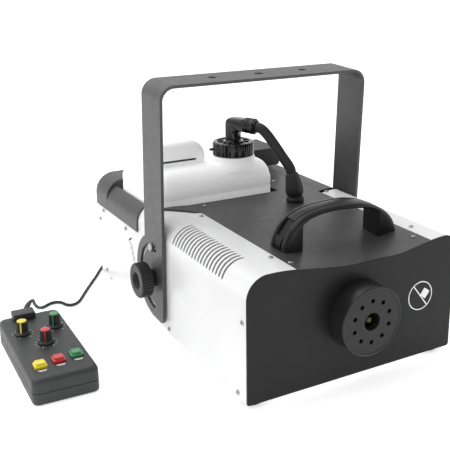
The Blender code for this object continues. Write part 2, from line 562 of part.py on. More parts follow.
# ---------------------------------------------------------------- rear panel fittings
RP = 478.3
sw = block("switch_frame", 92.0, 118.0, RP, RP + 6.0, up(60.0), up(96.0), "plastic", r=2, axis="y")
cut(sw, block("k_sw", 95.0, 115.0, RP + 1.5, RP + 10.0, up(63.0), up(93.0), "steel"))
rock = [(RP + 3.6, up(64.4)), (RP + 3.6, up(91.6)), (RP + 8.6, up(91.6)), (RP + 6.4, up(78.0)), (RP + 8.6, up(64.4))]
prism("power_rocker", rock, "x", 96.0, 114.0, "red", origin=(105.0, RP + 4.4, up(78.0)))
inlet = block("mains_inlet", 84.0, 126.0, RP, RP + 7.0, up(20.0), up(50.0), "plastic", r=3, axis="y")
cut(inlet, block("k_inlet", 92.0, 118.0, RP + 1.5, RP + 10.0, up(26.0), up(44.0), "steel", r=3, axis="y"))
turned("fuse_cap", "y", (66.0, 0.0, up(34.0)), [(9.0, RP), (9.0, RP + 3.0), (7.0, RP + 3.0), (7.0, RP + 8.0)], "plastic", n=24)
for tag, cx in (("in", -60.0), ("out", -24.0)):
    j = block("dmx_" + tag, cx - 13.0, cx + 13.0, RP, RP + 4.0, up(20.0), up(51.0), "steel", r=3, axis="y")
    cut(j, prism("k_dmx_" + tag, circle(cx, up(35.5), 9.5, 24), "y", RP + 1.0, RP + 10.0, "steel"))
dp = block("display_panel", -72.0, 36.0, RP, RP + 3.0, up(60.0), up(100.0), "plastic", r=4, axis="y")
cut(dp, block("k_display", -64.0, -16.0, RP + 1.2, RP + 10.0, up(70.0), up(92.0), "steel"))
btn_holes = []
for i in range(4):
    c = circle(-4.0 + 11.0 * i, up(80.0), 4.4, 18)
    btn_holes.append([[(u, RP + 0.8, v) for u, v in c], [(u, RP + 8.0, v) for u, v in c]])
cut(dp, join_shapes("k_menu", btn_holes, "steel"))
for i in range(4):
    turned("menu_button_%d" % (i + 1), "y", (-4.0 + 11.0 * i, 0.0, up(80.0)), [(3.8, RP + 2.2), (3.8, RP + 4.6), (3.0, RP + 5.2)], "rubber", n=18, origin=(-4.0 + 11.0 * i, RP + 5.2, up(80.0)))
sock = turned("remote_socket", "y", (-112.0, 0.0, up(36.0)), [(13.0, RP), (13.0, RP + 4.0), (11.0, RP + 5.0)], "steel", n=24)
cut(sock, prism("k_sock", circle(-112.0, up(36.0), 8.6, 20), "y", RP + 1.5, RP + 12.0, "steel"))

# ---------------------------------------------------------------- wired remote
rx0, rx1, ry0, ry1 = REM
SEAM = 15.0
base = prism("remote_base", rect(rx0, rx1, ry0, ry1, 8, 4), "z", 0.0, SEAM - 0.15, "grey", move=swing_point)
cut(base, prism("k_rbase", rect(rx0 + 2.2, rx1 - 2.2, ry0 + 2.2, ry1 - 2.2, 5.8, 3), "z", 2.2, 40.0, "steel", move=swing_point))
lid_loops = []
for inset, z in ((0.0, SEAM + 0.15), (0.0, REM_H - 3.2), (0.9, REM_H - 1.1), (3.2, REM_H)):
    lid_loops.append([(u, v, z) for u, v in rect(rx0 + inset, rx1 - inset, ry0 + inset, ry1 - inset, 8 - inset * 0.6, 4)])
lid = rings("remote_lid", lid_loops, "grey", move=swing_point)
cut(lid, prism("k_rlid", rect(rx0 + 2.6, rx1 - 2.6, ry0 + 2.6, ry1 - 2.6, 5.4, 3), "z", 5.0, REM_H - 3.4, "steel", move=swing_point))
KNOBS = (("timer_knob_yellow", -335.0, 261.0, "yellow"), ("timer_knob_green", -293.0, 263.5, "green"), ("timer_knob_red", -314.7, 222.8, "red"))
BTNS = (("remote_button_yellow", -336.6, 166.0, "yellow"), ("remote_button_red", -313.6, 170.2, "red"), ("remote_button_green", -291.2, 174.0, "green"))
openings = []
for nm, kx, ky, col in KNOBS:
    c = circle(kx, ky, 3.6, 16)
    openings.append([[(u, v, REM_H - 6.0) for u, v in c], [(u, v, REM_H + 5.0) for u, v in c]])
for nm, bx, by, col in BTNS:
    c = rect(bx - 7.9, bx + 7.9, by - 7.9, by + 7.9)
    openings.append([[(u, v, REM_H - 6.0) for u, v in c], [(u, v, REM_H + 5.0) for u, v in c]])
cut(lid, join_shapes("k_rlid_holes", openings, "steel", move=swing_point))
for nm, kx, ky, col in KNOBS:
    turned(nm, "z", (kx, ky, 0.0), [(3.0, 22.0), (3.0, REM_H + 0.5), (9.8, REM_H + 0.5), (9.8, REM_H + 2.5), (7.4, REM_H + 3.5), (6.6, REM_H + 17.5), (5.6, REM_H + 18.5)], col, n=18, origin=(kx, ky, REM_H), move=swing_point)
for nm, bx, by, col in BTNS:
    rings(nm, [[(u, v, z) for u, v in rect(bx - 7.5 + i, bx + 7.5 - i, by - 7.5 + i, by + 7.5 - i, 1.5, 2)] for i, z in ((0.0, 22.0), (0.0, REM_H + 5.0), (0.8, REM_H + 6.0))], col, origin=(bx, by, REM_H + 6.0), move=swing_point)

# lead block on the remote's lid with the cord's boot, the cord, and its plug at the rear panel
BOOT = [(-318.0, 317.0, REM_H + 4.6), (-315.0, 324.0, REM_H + 5.6), (-311.4, 331.5, REM_H + 6.4), (-307.6, 338.5, REM_H + 6.0)]
relief = block("remote_strain_relief", -337.0, -308.5, 300.0, 318.6, REM_H + 0.3, REM_H + 9.0, "rubber", r=1.5, move=swing_point)
cut(relief, rings("k_boot", sweep_loops([swing_point(q) for q in BOOT], [4.2, 4.0, 3.6, 3.0], 12), "rubber"), "UNION")
turned("remote_plug", "y", (-112.0, 0.0, up(36.0)), [(7.8, RP + 1.8), (7.8, RP + 6.2), (9.5, RP + 6.2), (9.5, RP + 20.0), (6.0, RP + 25.0), (3.2, RP + 34.0)], "rubber", n=14)

CORD_R = 2.3
_e = swing_point(BOOT[-1])
_d = (Vector(_e) - Vector(swing_point(BOOT[-2]))).normalized()
_s = Vector(_e) + _d * 0.4
_t = Vector(_e) + _d * 6.0
route = [tuple(_s), tuple(_t), (_t.x + 5.5, _t.y + 8.6, _t.z - 3.6), (-286.0, 366.0, 22.0), (-277.0, 382.0, 9.0), (-267.0, 395.0, CORD_R + 0.1), (-255.0, 402.0, CORD_R + 0.1),
         (-245.0, 402.5, CORD_R + 0.1), (-238.5, 396.0, CORD_R + 0.1), (-235.5, 386.5, CORD_R + 0.1), (-227.5, 381.5, CORD_R + 0.1), (-217.5, 386.5, CORD_R + 0.1), (-208.0, 399.0, CORD_R + 0.1), (-198.0, 414.5, CORD_R + 0.1),
         (-176.5, 446.0, CORD_R + 0.1), (-160.5, 469.0, CORD_R + 0.1), (-149.0, 487.0, CORD_R + 0.1), (-138.0, 503.0, CORD_R + 0.1), (-128.5, 516.0, CORD_R + 0.1), (-121.0, 526.0, 5.0), (-116.0, 532.5, 12.5),
         (-113.2, 534.5, 22.5), (-112.2, 532.5, 32.0), (-112.0, 526.5, 39.8), (-112.0, RP + 40.0, 43.6), (-112.0, RP + 34.4, 44.0)]


def smooth_curve(points, step):
    """Catmull-Rom curve through the route's points, read at even steps."""
    P = [Vector(p) for p in points]
    P = [P[0] * 2 - P[1]] + P + [P[-1] * 2 - P[-2]]
    dense = []
    for i in range(1, len(P) - 2):
        for k in range(24):
            t = k / 24.0
            a, b, c, d = P[i - 1], P[i], P[i + 1], P[i + 2]
            dense.append(0.5 * ((2 * b) + (c - a) * t + (2 * a - 5 * b + 4 * c - d) * t * t + (3 * b - a - 3 * c + d) * t ** 3))
    dense.append(P[-2])
    total = sum((q - p).length for p, q in zip(dense, dense[1:]))
    n = max(2, int(round(total / step)))
    out, want, run = [dense[0]], total / n, 0.0
    for p, q in zip(dense, dense[1:]):
        seg = (q - p).length
        while run + seg >= want - 1e-9 and len(out) < n:
            f = (want - run) / seg
            p = p + (q - p) * f
            out.append(p.copy())
            seg = (q - p).length
            run = 0.0
        run += seg
    out.append(dense[-1])
    return out


cord_pts = smooth_curve(route, 9.0)
cu = bpy.data.curves.new("remote_cord", "CURVE")
cu.dimensions = "3D"
sp = cu.splines.new("POLY")
sp.points.add(len(cord_pts) - 1)
cord_origin = world(cord_pts[0])
for p, q in zip(sp.points, cord_pts):
    p.co = (*(world(q) - cord_origin), 1.0)
cu.bevel_depth = CORD_R / 1000.0
cu.bevel_resolution = 2
cu.use_fill_caps = True
cord = bpy.data.objects.new("remote_cord", cu)
cord.location = cord_origin
cu.materials.append(mat("rubber"))
bpy.context.scene.collection.objects.link(cord)
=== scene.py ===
"""Looks of the stage fog machine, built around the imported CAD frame.

All drawing numbers are in millimetres in the machine's own frame (X = 0 middle of the case,
Y = 0 front face of the front panel, Z = 0 floor); put() moves them to the row frame in metres.
"""

import json
import math

import bmesh
import bpy
from mathutils import Matrix, Vector

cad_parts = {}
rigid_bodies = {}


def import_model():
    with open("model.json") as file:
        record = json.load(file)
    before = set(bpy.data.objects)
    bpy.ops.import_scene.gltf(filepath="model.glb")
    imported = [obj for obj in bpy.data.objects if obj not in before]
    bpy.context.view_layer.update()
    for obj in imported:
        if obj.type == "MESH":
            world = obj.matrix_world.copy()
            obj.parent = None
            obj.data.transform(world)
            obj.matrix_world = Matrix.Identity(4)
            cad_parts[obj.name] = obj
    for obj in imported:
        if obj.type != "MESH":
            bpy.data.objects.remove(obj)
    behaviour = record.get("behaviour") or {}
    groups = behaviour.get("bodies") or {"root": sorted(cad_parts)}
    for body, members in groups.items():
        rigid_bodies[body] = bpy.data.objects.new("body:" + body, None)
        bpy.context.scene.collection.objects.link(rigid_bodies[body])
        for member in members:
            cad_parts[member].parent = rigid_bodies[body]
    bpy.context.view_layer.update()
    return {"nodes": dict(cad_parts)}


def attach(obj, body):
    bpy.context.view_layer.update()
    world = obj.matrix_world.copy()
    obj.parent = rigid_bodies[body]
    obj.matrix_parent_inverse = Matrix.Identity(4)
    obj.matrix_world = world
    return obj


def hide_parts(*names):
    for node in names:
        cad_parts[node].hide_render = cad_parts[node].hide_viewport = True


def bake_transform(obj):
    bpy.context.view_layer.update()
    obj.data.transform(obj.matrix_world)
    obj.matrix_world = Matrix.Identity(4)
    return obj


for _o in list(bpy.data.objects):
    bpy.data.objects.remove(_o, do_unlink=True)

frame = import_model()
NODES = frame["nodes"]
scene = bpy.context.scene

SHIFT = (86.26, -229.95, 0.0)
FOOT = 8.0
HALF_W = 150.0
SHEET = 1.5
R_LEFT, R_RIGHT = 28.0, 15.0
TOP_L, TOP_R, DISH = 154.0, 153.0, 142.6
SEAM_L, SEAM_R = -84.0, 113.0
PIVOT_Y, PIVOT_Z = 243.0, 72.0
YOKE_IN, YOKE_T, YOKE_HALF, YOKE_TOP = 152.0, 4.0, 28.5, 335.5
CAP_X, CAP_Y = 6.0, 315.0
HOSE_X, HOSE_Y = 55.5, 224.0
NOZ_X, NOZ_Z = 2.0, 79.0
YOKE_LEAN = 2.5
REM = (-354.0, -275.0, 133.0, 320.0)
REM_H = 33.0
REM_SWING = -2.0
FADE = 165.0
RP = 478.3


def put(p):
    return Vector(((p[0] + SHIFT[0]) / 1000.0, (p[1] + SHIFT[1]) / 1000.0, (p[2] + SHIFT[2]) / 1000.0))


def up(z):
    return z + FOOT


def lean_point(p):
    """A point of the upright yoke, turned about the yoke's pivot to the rest position."""
    a = math.radians(YOKE_LEAN)
    dy, dz = p[1] - PIVOT_Y, p[2] - up(PIVOT_Z)
    return (p[0], PIVOT_Y + dy * math.cos(a) - dz * math.sin(a), up(PIVOT_Z) + dy * math.sin(a) + dz * math.cos(a))


def swing_point(p):
    """A point of the remote drawn square to the case, swung round its front left corner."""
    a = math.radians(REM_SWING)
    dx, dy = p[0] - REM[0], p[1] - REM[2]
    return (REM[0] + dx * math.cos(a) - dy * math.sin(a), REM[2] + dx * math.sin(a) + dy * math.cos(a), p[2])


MOVE = [None]   # the placing that new_object applies to its points


# ================================================================ camera
cam_data = bpy.data.cameras.new("camera")
cam = bpy.data.objects.new("camera", cam_data)
scene.collection.objects.link(cam)
cam_data.sensor_width = 36.0
cam_data.lens = 65.69
cam_data.shift_x = -0.0778
cam_data.shift_y = -0.0781
cam_data.clip_start, cam_data.clip_end = 0.02, 50.0
_az, _el, _roll = math.radians(-30.411), math.radians(16.302), math.radians(-0.086)
_back = Vector((math.sin(_az) * math.cos(_el), -math.cos(_az) * math.cos(_el), math.sin(_el)))
cam.rotation_mode = "QUATERNION"
cam.rotation_quaternion = (-_back).to_track_quat("-Z", "Y")
cam.location = put((-551.30, -711.59, 501.26))
scene.camera = cam


# ================================================================ mesh helpers
def new_object(name, verts, faces, angle=35.0, smooth=True):
    me = bpy.data.meshes.new(name)
    if MOVE[0]:
        verts = [MOVE[0](v) for v in verts]
    me.from_pydata([tuple(put(v)) for v in verts], [], faces)
    bm = bmesh.new()
    bm.from_mesh(me)
    bmesh.ops.recalc_face_normals(bm, faces=bm.faces)
    bm.to_mesh(me)
    bm.free()
    ob = bpy.data.objects.new(name, me)
    scene.collection.objects.link(ob)
    if smooth:
        me.shade_smooth()
        me.set_sharp_from_angle(angle=math.radians(angle))
    return ob


def rings(name, loops, closed=True, **kw):
    n = len(loops[0])
    verts = [p for ring in loops for p in ring]
    faces = []
    for i in range(len(loops) - 1):
        for j in range(n):
            k = (j + 1) % n
            faces.append((i * n + j, i * n + k, (i + 1) * n + k, (i + 1) * n + j))
    if closed:
        faces.append(tuple(range(n)))
        faces.append(tuple((len(loops) - 1) * n + j for j in reversed(range(n))))
    return new_object(name, verts, faces, **kw)


def ring_shell(name, loops, **kw):
    """Closed tube-like body through rings that come back to the first ring."""
    n, m = len(loops[0]), len(loops)
    verts = [p for ring in loops for p in ring]
    faces = []
    for i in range(m):
        a, b = i * n, ((i + 1) % m) * n
        for j in range(n):
            k = (j + 1) % n
            faces.append((a + j, a + k, b + k, b + j))
    return new_object(name, verts, faces, **kw)


def prism(name, outline, axis, a, b, **kw):
    def at(u, v, w):
        return {"x": (w, u, v), "y": (u, w, v), "z": (u, v, w)}[axis]
    return rings(name, [[at(u, v, a) for u, v in outline], [at(u, v, b) for u, v in outline]], **kw)


def rect(u0, u1, v0, v1, r=0.0, n=8):
    if r <= 0:
        return [(u0, v0), (u1, v0), (u1, v1), (u0, v1)]
    pts = []
    for cu, cv, a0 in ((u1 - r, v1 - r, 0), (u0 + r, v1 - r, 90), (u0 + r, v0 + r, 180), (u1 - r, v0 + r, 270)):
        for i in range(n + 1):
            t = math.radians(a0 + 90.0 * i / n)
            pts.append((cu + r * math.cos(t), cv + r * math.sin(t)))
    return pts


def circle(cu, cv, r, n=48, a0=0.0):
    return [(cu + r * math.cos(a0 + 2 * math.pi * i / n), cv + r * math.sin(a0 + 2 * math.pi * i / n)) for i in range(n)]


def stadium(cu, cv, half, r, n=10, tilt=0.0):
    """Slot outline with round ends: half = half distance between end centres, along v."""
    pts = []
    for s, a0 in ((1, 0), (-1, 180)):
        for i in range(n + 1):
            t = math.radians(a0 + 180.0 * i / n)
            pts.append((r * math.cos(t), s * half + r * math.sin(t)))
    c, s = math.cos(tilt), math.sin(tilt)
    return [(cu + u * c - v * s, cv + u * s + v * c) for u, v in pts]


def block(name, x0, x1, y0, y1, z0, z1, r=0.0, axis="z", n=8, **kw):
    if axis == "z":
        return prism(name, rect(x0, x1, y0, y1, r, n), "z", z0, z1, **kw)
    if axis == "y":
        return prism(name, rect(x0, x1, z0, z1, r, n), "y", y0, y1, **kw)
    return prism(name, rect(y0, y1, z0, z1, r, n), "x", x0, x1, **kw)


def turned(name, axis, centre, profile, n=64, **kw):
    cx, cy, cz = centre
    loops = []
    for r, h in profile:
        ring = []
        for i in range(n):
            t = 2 * math.pi * i / n
            c, s = r * math.cos(t), r * math.sin(t)
            ring.append({"x": (cx + h, cy + c, cz + s), "y": (cx + c, cy + h, cz + s), "z": (cx + c, cy + s, cz + h)}[axis])
        loops.append(ring)
    return rings(name, loops, **kw)


def sweep_loops(path, radii, n=24):
    pts = [Vector(p) for p in path]
    loops, side = [], None
    for i, p in enumerate(pts):
        d = (pts[min(i + 1, len(pts) - 1)] - pts[max(i - 1, 0)]).normalized()
        if side is None:
            ref = Vector((0, 0, 1)) if abs(d.z) < 0.9 else Vector((1, 0, 0))
            side = d.cross(ref).normalized()
        side = (side - d * side.dot(d)).normalized()
        other = d.cross(side)
        loops.append([tuple(p + (side * math.cos(2 * math.pi * j / n) + other * math.sin(2 * math.pi * j / n)) * radii[i]) for j in range(n)])
    return loops


def smooth_curve(points, step):
    """Catmull-Rom curve through the points, read at even steps."""
    P = [Vector(p) for p in points]
    P = [P[0] * 2 - P[1]] + P + [P[-1] * 2 - P[-2]]
    dense = []
    for i in range(1, len(P) - 2):
        for k in range(24):
            t = k / 24.0
            a, b, c, d = P[i - 1], P[i], P[i + 1], P[i + 2]
            dense.append(0.5 * ((2 * b) + (c - a) * t + (2 * a - 5 * b + 4 * c - d) * t * t + (3 * b - a - 3 * c + d) * t ** 3))
    dense.append(P[-2])
    total = sum((q - p).length for p, q in zip(dense, dense[1:]))
    n = max(2, int(round(total / step)))
    out, want, run = [dense[0]], total / n, 0.0
    for p, q in zip(dense, dense[1:]):
        seg = (q - p).length
        while run + seg >= want - 1e-9 and len(out) < n:
            f = (want - run) / seg
            p = p + (q - p) * f
            out.append(p.copy())
            seg = (q - p).length
            run = 0.0
        run += seg
    out.append(dense[-1])
    return out


def settle(ob):
    """Evaluates the modifiers into the mesh."""
    bpy.context.view_layer.update()
    dg = bpy.context.evaluated_depsgraph_get()
    me = bpy.data.meshes.new_from_object(ob.evaluated_get(dg), depsgraph=dg)
    ob.modifiers.clear()
    old = ob.data
    ob.data = me
    me.name = ob.name
    bpy.data.meshes.remove(old)
    return ob


def boolean(ob, cutters, op="DIFFERENCE", use_self=False, angle=35.0):
    for c in cutters:
        m = ob.modifiers.new("b", "BOOLEAN")
        m.operation = op
        m.solver = "EXACT"
        m.use_self = use_self
        m.object = c
    settle(ob)
    for c in cutters:
        bpy.data.objects.remove(c, do_unlink=True)
    ob.data.shade_smooth()
    ob.data.set_sharp_from_angle(angle=math.radians(angle))
    return ob


def joined(name, obs):
    """One object from several, meshes joined."""
    bm = bmesh.new()
    for o in obs:
        bm.from_mesh(o.data)
    me = bpy.data.meshes.new(name)
    bm.to_mesh(me)
    bm.free()
    for o in obs:
        bpy.data.objects.remove(o, do_unlink=True)
    ob = bpy.data.objects.new(name, me)
    scene.collection.objects.link(ob)
    me.shade_smooth()
    me.set_sharp_from_angle(angle=math.radians(35))
    return ob


def bevel(ob, mm, segments=2, angle=30.0):
    m = ob.modifiers.new("edge", "BEVEL")
    m.width = mm / 1000.0
    m.segments = segments
    m.limit_method = "ANGLE"
    m.angle_limit = math.radians(angle)
    m.harden_normals = True
    m.miter_outer = "MITER_ARC"
    return ob


# ================================================================ materials
MATS = {}


def material(name, base, base2=None, rough=0.4, rough_to=None, metal=0.0, spec=0.5, coat=0.0, coat_rough=0.1,
             fine=2200.0, fine_dist=0.00003, mid=0.0, mid_dist=0.0, blotch=14.0, subsurface=0.0, brushed=False, sheen=0.0):
    """Moulded, painted or metal surface: fine grain and soft unevenness in bump, and slight variation in colour and gloss."""
    m = bpy.data.materials.new(name)
    m.use_nodes = True
    nt = m.node_tree
    N, L = nt.nodes, nt.links
    p = N["Principled BSDF"]
    co = N.new("ShaderNodeTexCoord")
    big = N.new("ShaderNodeTexNoise")
    big.inputs["Scale"].default_value = blotch
    big.inputs["Detail"].default_value = 4.0
    big.inputs["Roughness"].default_value = 0.55
    L.new(co.outputs["Object"], big.inputs["Vector"])
    ramp = N.new("ShaderNodeValToRGB")
    ramp.color_ramp.elements[0].position = 0.32
    ramp.color_ramp.elements[1].position = 0.68
    b2 = base2 or tuple(min(1.0, c * 1.10 + 0.002) for c in base)
    ramp.color_ramp.elements[0].color = (*base, 1.0)
    ramp.color_ramp.elements[1].color = (*b2, 1.0)
    L.new(big.outputs["Fac"], ramp.inputs["Fac"])
    L.new(ramp.outputs["Color"], p.inputs["Base Color"])
    rr = N.new("ShaderNodeMapRange")
    rr.inputs["From Min"].default_value = 0.3
    rr.inputs["From Max"].default_value = 0.7
    rr.inputs["To Min"].default_value = rough
    rr.inputs["To Max"].default_value = rough_to if rough_to is not None else min(1.0, rough + 0.07)
    sm = N.new("ShaderNodeTexNoise")
    sm.inputs["Scale"].default_value = blotch * 7.0
    sm.inputs["Detail"].default_value = 3.0
    L.new(co.outputs["Object"], sm.inputs["Vector"])
    L.new(sm.outputs["Fac"], rr.inputs["Value"])
    L.new(rr.outputs["Result"], p.inputs["Roughness"])
    p.inputs["Metallic"].default_value = metal
    p.inputs["Specular IOR Level"].default_value = spec
    p.inputs["Coat Weight"].default_value = coat
    p.inputs["Coat Roughness"].default_value = coat_rough
    if sheen:
        p.inputs["Sheen Weight"].default_value = sheen
    if subsurface:
        p.inputs["Subsurface Weight"].default_value = subsurface
        p.inputs["Subsurface Radius"].default_value = (0.012, 0.012, 0.011)
        p.inputs["Subsurface Scale"].default_value = 1.0
    grain = N.new("ShaderNodeTexNoise")
    grain.inputs["Scale"].default_value = fine
    grain.inputs["Detail"].default_value = 2.0
    vec = co.outputs["Object"]
    if brushed:
        mp = N.new("ShaderNodeMapping")
        mp.inputs["Scale"].default_value = (0.04, 1.0, 1.0)
        L.new(vec, mp.inputs["Vector"])
        vec = mp.outputs["Vector"]
    L.new(vec, grain.inputs["Vector"])
    bump = N.new("ShaderNodeBump")
    bump.inputs["Strength"].default_value = 1.0
    bump.inputs["Distance"].default_value = fine_dist
    L.new(grain.outputs["Fac"], bump.inputs["Height"])
    last = bump
    if mid:
        wave = N.new("ShaderNodeTexNoise")
        wave.inputs["Scale"].default_value = mid
        wave.inputs["Detail"].default_value = 1.0
        L.new(co.outputs["Object"], wave.inputs["Vector"])
        b2n = N.new("ShaderNodeBump")
        b2n.inputs["Strength"].default_value = 1.0
        b2n.inputs["Distance"].default_value = mid_dist
        L.new(wave.outputs["Fac"], b2n.inputs["Height"])
        L.new(bump.outputs["Normal"], b2n.inputs["Normal"])
        last = b2n
    L.new(last.outputs["Normal"], p.inputs["Normal"])
    MATS[name] = m
    return m


M_WHITE = material("white_paint", (0.70, 0.70, 0.705), (0.74, 0.74, 0.745), rough=0.30, rough_to=0.38, fine=1500, fine_dist=0.00003, mid=160, mid_dist=0.00004, coat=0.15, coat_rough=0.2)
M_BLACK = material("black_paint", (0.034, 0.034, 0.035), (0.042, 0.042, 0.043), rough=0.40, rough_to=0.47, fine=1700, fine_dist=0.00004, mid=170, mid_dist=0.00003)
M_PLATE = material("plate_paint", (0.009, 0.009, 0.0095), (0.012, 0.012, 0.0125), rough=0.36, rough_to=0.42, spec=0.22, fine=1700, fine_dist=0.00005, mid=170, mid_dist=0.00003)
M_GUARD = material("guard_paint", (0.012, 0.012, 0.0125), (0.016, 0.016, 0.0165), rough=0.30, rough_to=0.36, spec=0.3, fine=1700, fine_dist=0.00004)
M_YOKE = material("yoke_paint", (0.050, 0.050, 0.051), (0.060, 0.060, 0.061), rough=0.42, rough_to=0.5, fine=1300, fine_dist=0.00006)
M_TANK = material("tank_plastic", (0.90, 0.905, 0.90), (0.93, 0.935, 0.93), rough=0.42, rough_to=0.5, fine=900, fine_dist=0.00004, mid=55, mid_dist=0.00025, subsurface=0.35)
M_GLOSS = material("black_gloss", (0.003, 0.003, 0.0035), (0.005, 0.005, 0.0055), rough=0.14, rough_to=0.22, spec=0.3, fine=900, fine_dist=0.00003, coat=0.3, coat_rough=0.08)
M_PLASTIC = material("black_plastic", (0.014, 0.014, 0.015), (0.019, 0.019, 0.020), rough=0.42, rough_to=0.52, spec=0.4, fine=1400, fine_dist=0.00007)
M_HANDLE = material("handle_plastic", (0.008, 0.008, 0.0085), (0.011, 0.011, 0.0115), rough=0.30, rough_to=0.38, spec=0.30, fine=1400, fine_dist=0.00006)
M_RUBBER = material("rubber", (0.014, 0.014, 0.015), (0.021, 0.021, 0.022), rough=0.62, rough_to=0.74, fine=1200, fine_dist=0.00006)
M_HOSE = material("hose_rubber", (0.007, 0.007, 0.0075), (0.010, 0.010, 0.0105), rough=0.48, rough_to=0.58, fine=1500, fine_dist=0.00005)
M_STEEL = material("zinc_steel", (0.46, 0.46, 0.47), (0.56, 0.56, 0.57), rough=0.26, rough_to=0.40, metal=1.0, fine=900, fine_dist=0.00002, brushed=True)
M_SCREW = material("screw_steel", (0.30, 0.30, 0.305), (0.42, 0.42, 0.42), rough=0.22, rough_to=0.34, metal=1.0, fine=1800, fine_dist=0.00002)
M_BRASS = material("brass", (0.60, 0.45, 0.20), (0.68, 0.52, 0.26), rough=0.28, rough_to=0.4, metal=1.0, fine=900, fine_dist=0.00003, brushed=True)
M_BURNT = material("burnt_brass", (0.055, 0.045, 0.032), (0.10, 0.08, 0.05), rough=0.38, rough_to=0.5, metal=1.0, fine=900, fine_dist=0.00003)
M_ALU = material("cast_aluminium", (0.55, 0.56, 0.57), (0.62, 0.63, 0.64), rough=0.45, rough_to=0.6, metal=1.0, fine=700, fine_dist=0.0001)
M_GREY = material("remote_plastic", (0.022, 0.023, 0.024), (0.029, 0.030, 0.031), rough=0.46, rough_to=0.56, fine=1000, fine_dist=0.00010)
M_BOARD = material("circuit_board", (0.012, 0.12, 0.05), (0.02, 0.16, 0.07), rough=0.35, fine=300, fine_dist=0.0001)
M_YELLOW = material("yellow_plastic", (0.76, 0.60, 0.02), (0.80, 0.66, 0.03), rough=0.30, fine=1200, fine_dist=0.00003, coat=0.2)
M_GREEN = material("green_plastic", (0.03, 0.22, 0.07), (0.04, 0.27, 0.09), rough=0.30, fine=1200, fine_dist=0.00003, coat=0.2)
M_RED = material("red_plastic", (0.50, 0.015, 0.018), (0.58, 0.022, 0.024), rough=0.30, fine=1200, fine_dist=0.00003, coat=0.2)
M_PRINT = material("white_print", (0.86, 0.86, 0.86), (0.90, 0.90, 0.90), rough=0.5, fine=1500, fine_dist=0.00002)
M_DARK = material("shadow_gap", (0.004, 0.004, 0.004), (0.006, 0.006, 0.006), rough=0.7, fine=900, fine_dist=0.00005)
M_LENS = material("display_lens", (0.006, 0.010, 0.016), (0.009, 0.014, 0.022), rough=0.08, rough_to=0.12, fine=600, fine_dist=0.00001, coat=0.5, coat_rough=0.03)


def dress(ob, m, body, replaces=(), edge=0.0, segments=2, angle=30.0):
    ob.data.materials.clear()
    ob.data.materials.append(m)
    if edge:
        bevel(ob, edge, segments, angle)
    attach(ob, body)
    if replaces:
        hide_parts(*replaces)
    return ob


# ================================================================ remote cord (first, as its route is fixed in the CAD)
rx0, rx1, ry0, ry1 = REM
BOOT = [(-318.0, 317.0, REM_H + 4.6), (-315.0, 324.0, REM_H + 5.6), (-311.4, 331.5, REM_H + 6.4), (-307.6, 338.5, REM_H + 6.0)]
CORD_R = 2.3
_e = swing_point(BOOT[-1])
_d = (Vector(_e) - Vector(swing_point(BOOT[-2]))).normalized()
_s = Vector(_e) + _d * 0.4
_t = Vector(_e) + _d * 6.0
route = [tuple(_s), tuple(_t), (_t.x + 5.5, _t.y + 8.6, _t.z - 3.6), (-286.0, 366.0, 22.0), (-277.0, 382.0, 9.0), (-267.0, 395.0, CORD_R + 0.1), (-255.0, 402.0, CORD_R + 0.1),
         (-245.0, 402.5, CORD_R + 0.1), (-238.5, 396.0, CORD_R + 0.1), (-235.5, 386.5, CORD_R + 0.1), (-227.5, 381.5, CORD_R + 0.1), (-217.5, 386.5, CORD_R + 0.1), (-208.0, 399.0, CORD_R + 0.1), (-198.0, 414.5, CORD_R + 0.1),
         (-176.5, 446.0, CORD_R + 0.1), (-160.5, 469.0, CORD_R + 0.1), (-149.0, 487.0, CORD_R + 0.1), (-138.0, 503.0, CORD_R + 0.1), (-128.5, 516.0, CORD_R + 0.1), (-121.0, 526.0, 5.0), (-116.0, 532.5, 12.5),
         (-113.2, 534.5, 22.5), (-112.2, 532.5, 32.0), (-112.0, 526.5, 39.8), (-112.0, RP + 40.0, 43.6), (-112.0, RP + 34.4, 44.0)]
cord_pts = smooth_curve(route, 4.0)
cord = rings("remote_lead", sweep_loops(cord_pts, [CORD_R] * len(cord_pts), 20), angle=60)
dress(cord, M_RUBBER, "root", ("remote_cord",))

# block on the remote's lid that the lead leaves through, with its ribbed boot
boot_path = smooth_curve([swing_point(q) for q in BOOT], 0.9)
nb = len(boot_path) - 1
boot_r = []
for i in range(nb + 1):
    f = i / nb
    r = 4.2 - 1.2 * f
    boot_r.append(r - (0.6 if (i % 4) >= 2 and 0.15 < f < 0.95 else 0.0))
boot = rings("k", sweep_loops(boot_path, boot_r, 28), angle=35)
MOVE[0] = swing_point
relief = block("k", -337.0, -308.5, 300.0, 318.6, REM_H + 0.3, REM_H + 9.0, r=1.8)
bevel(relief, 0.9, 3, 40.0)
settle(relief)
MOVE[0] = None
relief = joined("remote_lead_block", [relief, boot])
dress(relief, M_GREY, "root", ("remote_strain_relief",))

plug_prof = [(7.8, RP + 1.8), (7.8, RP + 6.2), (9.2, RP + 6.2), (9.5, RP + 6.8), (9.5, RP + 19.4), (9.0, RP + 20.2), (6.4, RP + 24.0)]
for i in range(4):
    y = RP + 24.6 + i * 2.2
    r = 5.4 - 0.5 * i
    plug_prof += [(r, y), (r, y + 1.1), (r - 0.7, y + 1.4), (r - 0.7, y + 2.0)]
plug_prof += [(3.0, RP + 34.0)]
plug = turned("remote_lead_plug", "y", (-112.0, 0.0, up(36.0)), plug_prof, n=40)
dress(plug, M_RUBBER, "root", ("remote_plug",))


# ================================================================ case section
def top_z(x):
    if x < -118:
        return TOP_L
    if x < 0:
        return TOP_L - (TOP_L - DISH) * (0.5 - 0.5 * math.cos(math.pi * (x + 118) / 118))
    if x < 50:
        return DISH
    if x < 138:
        return TOP_R - (TOP_R - DISH) * (0.5 + 0.5 * math.cos(math.pi * (x - 50) / 88))
    return TOP_R


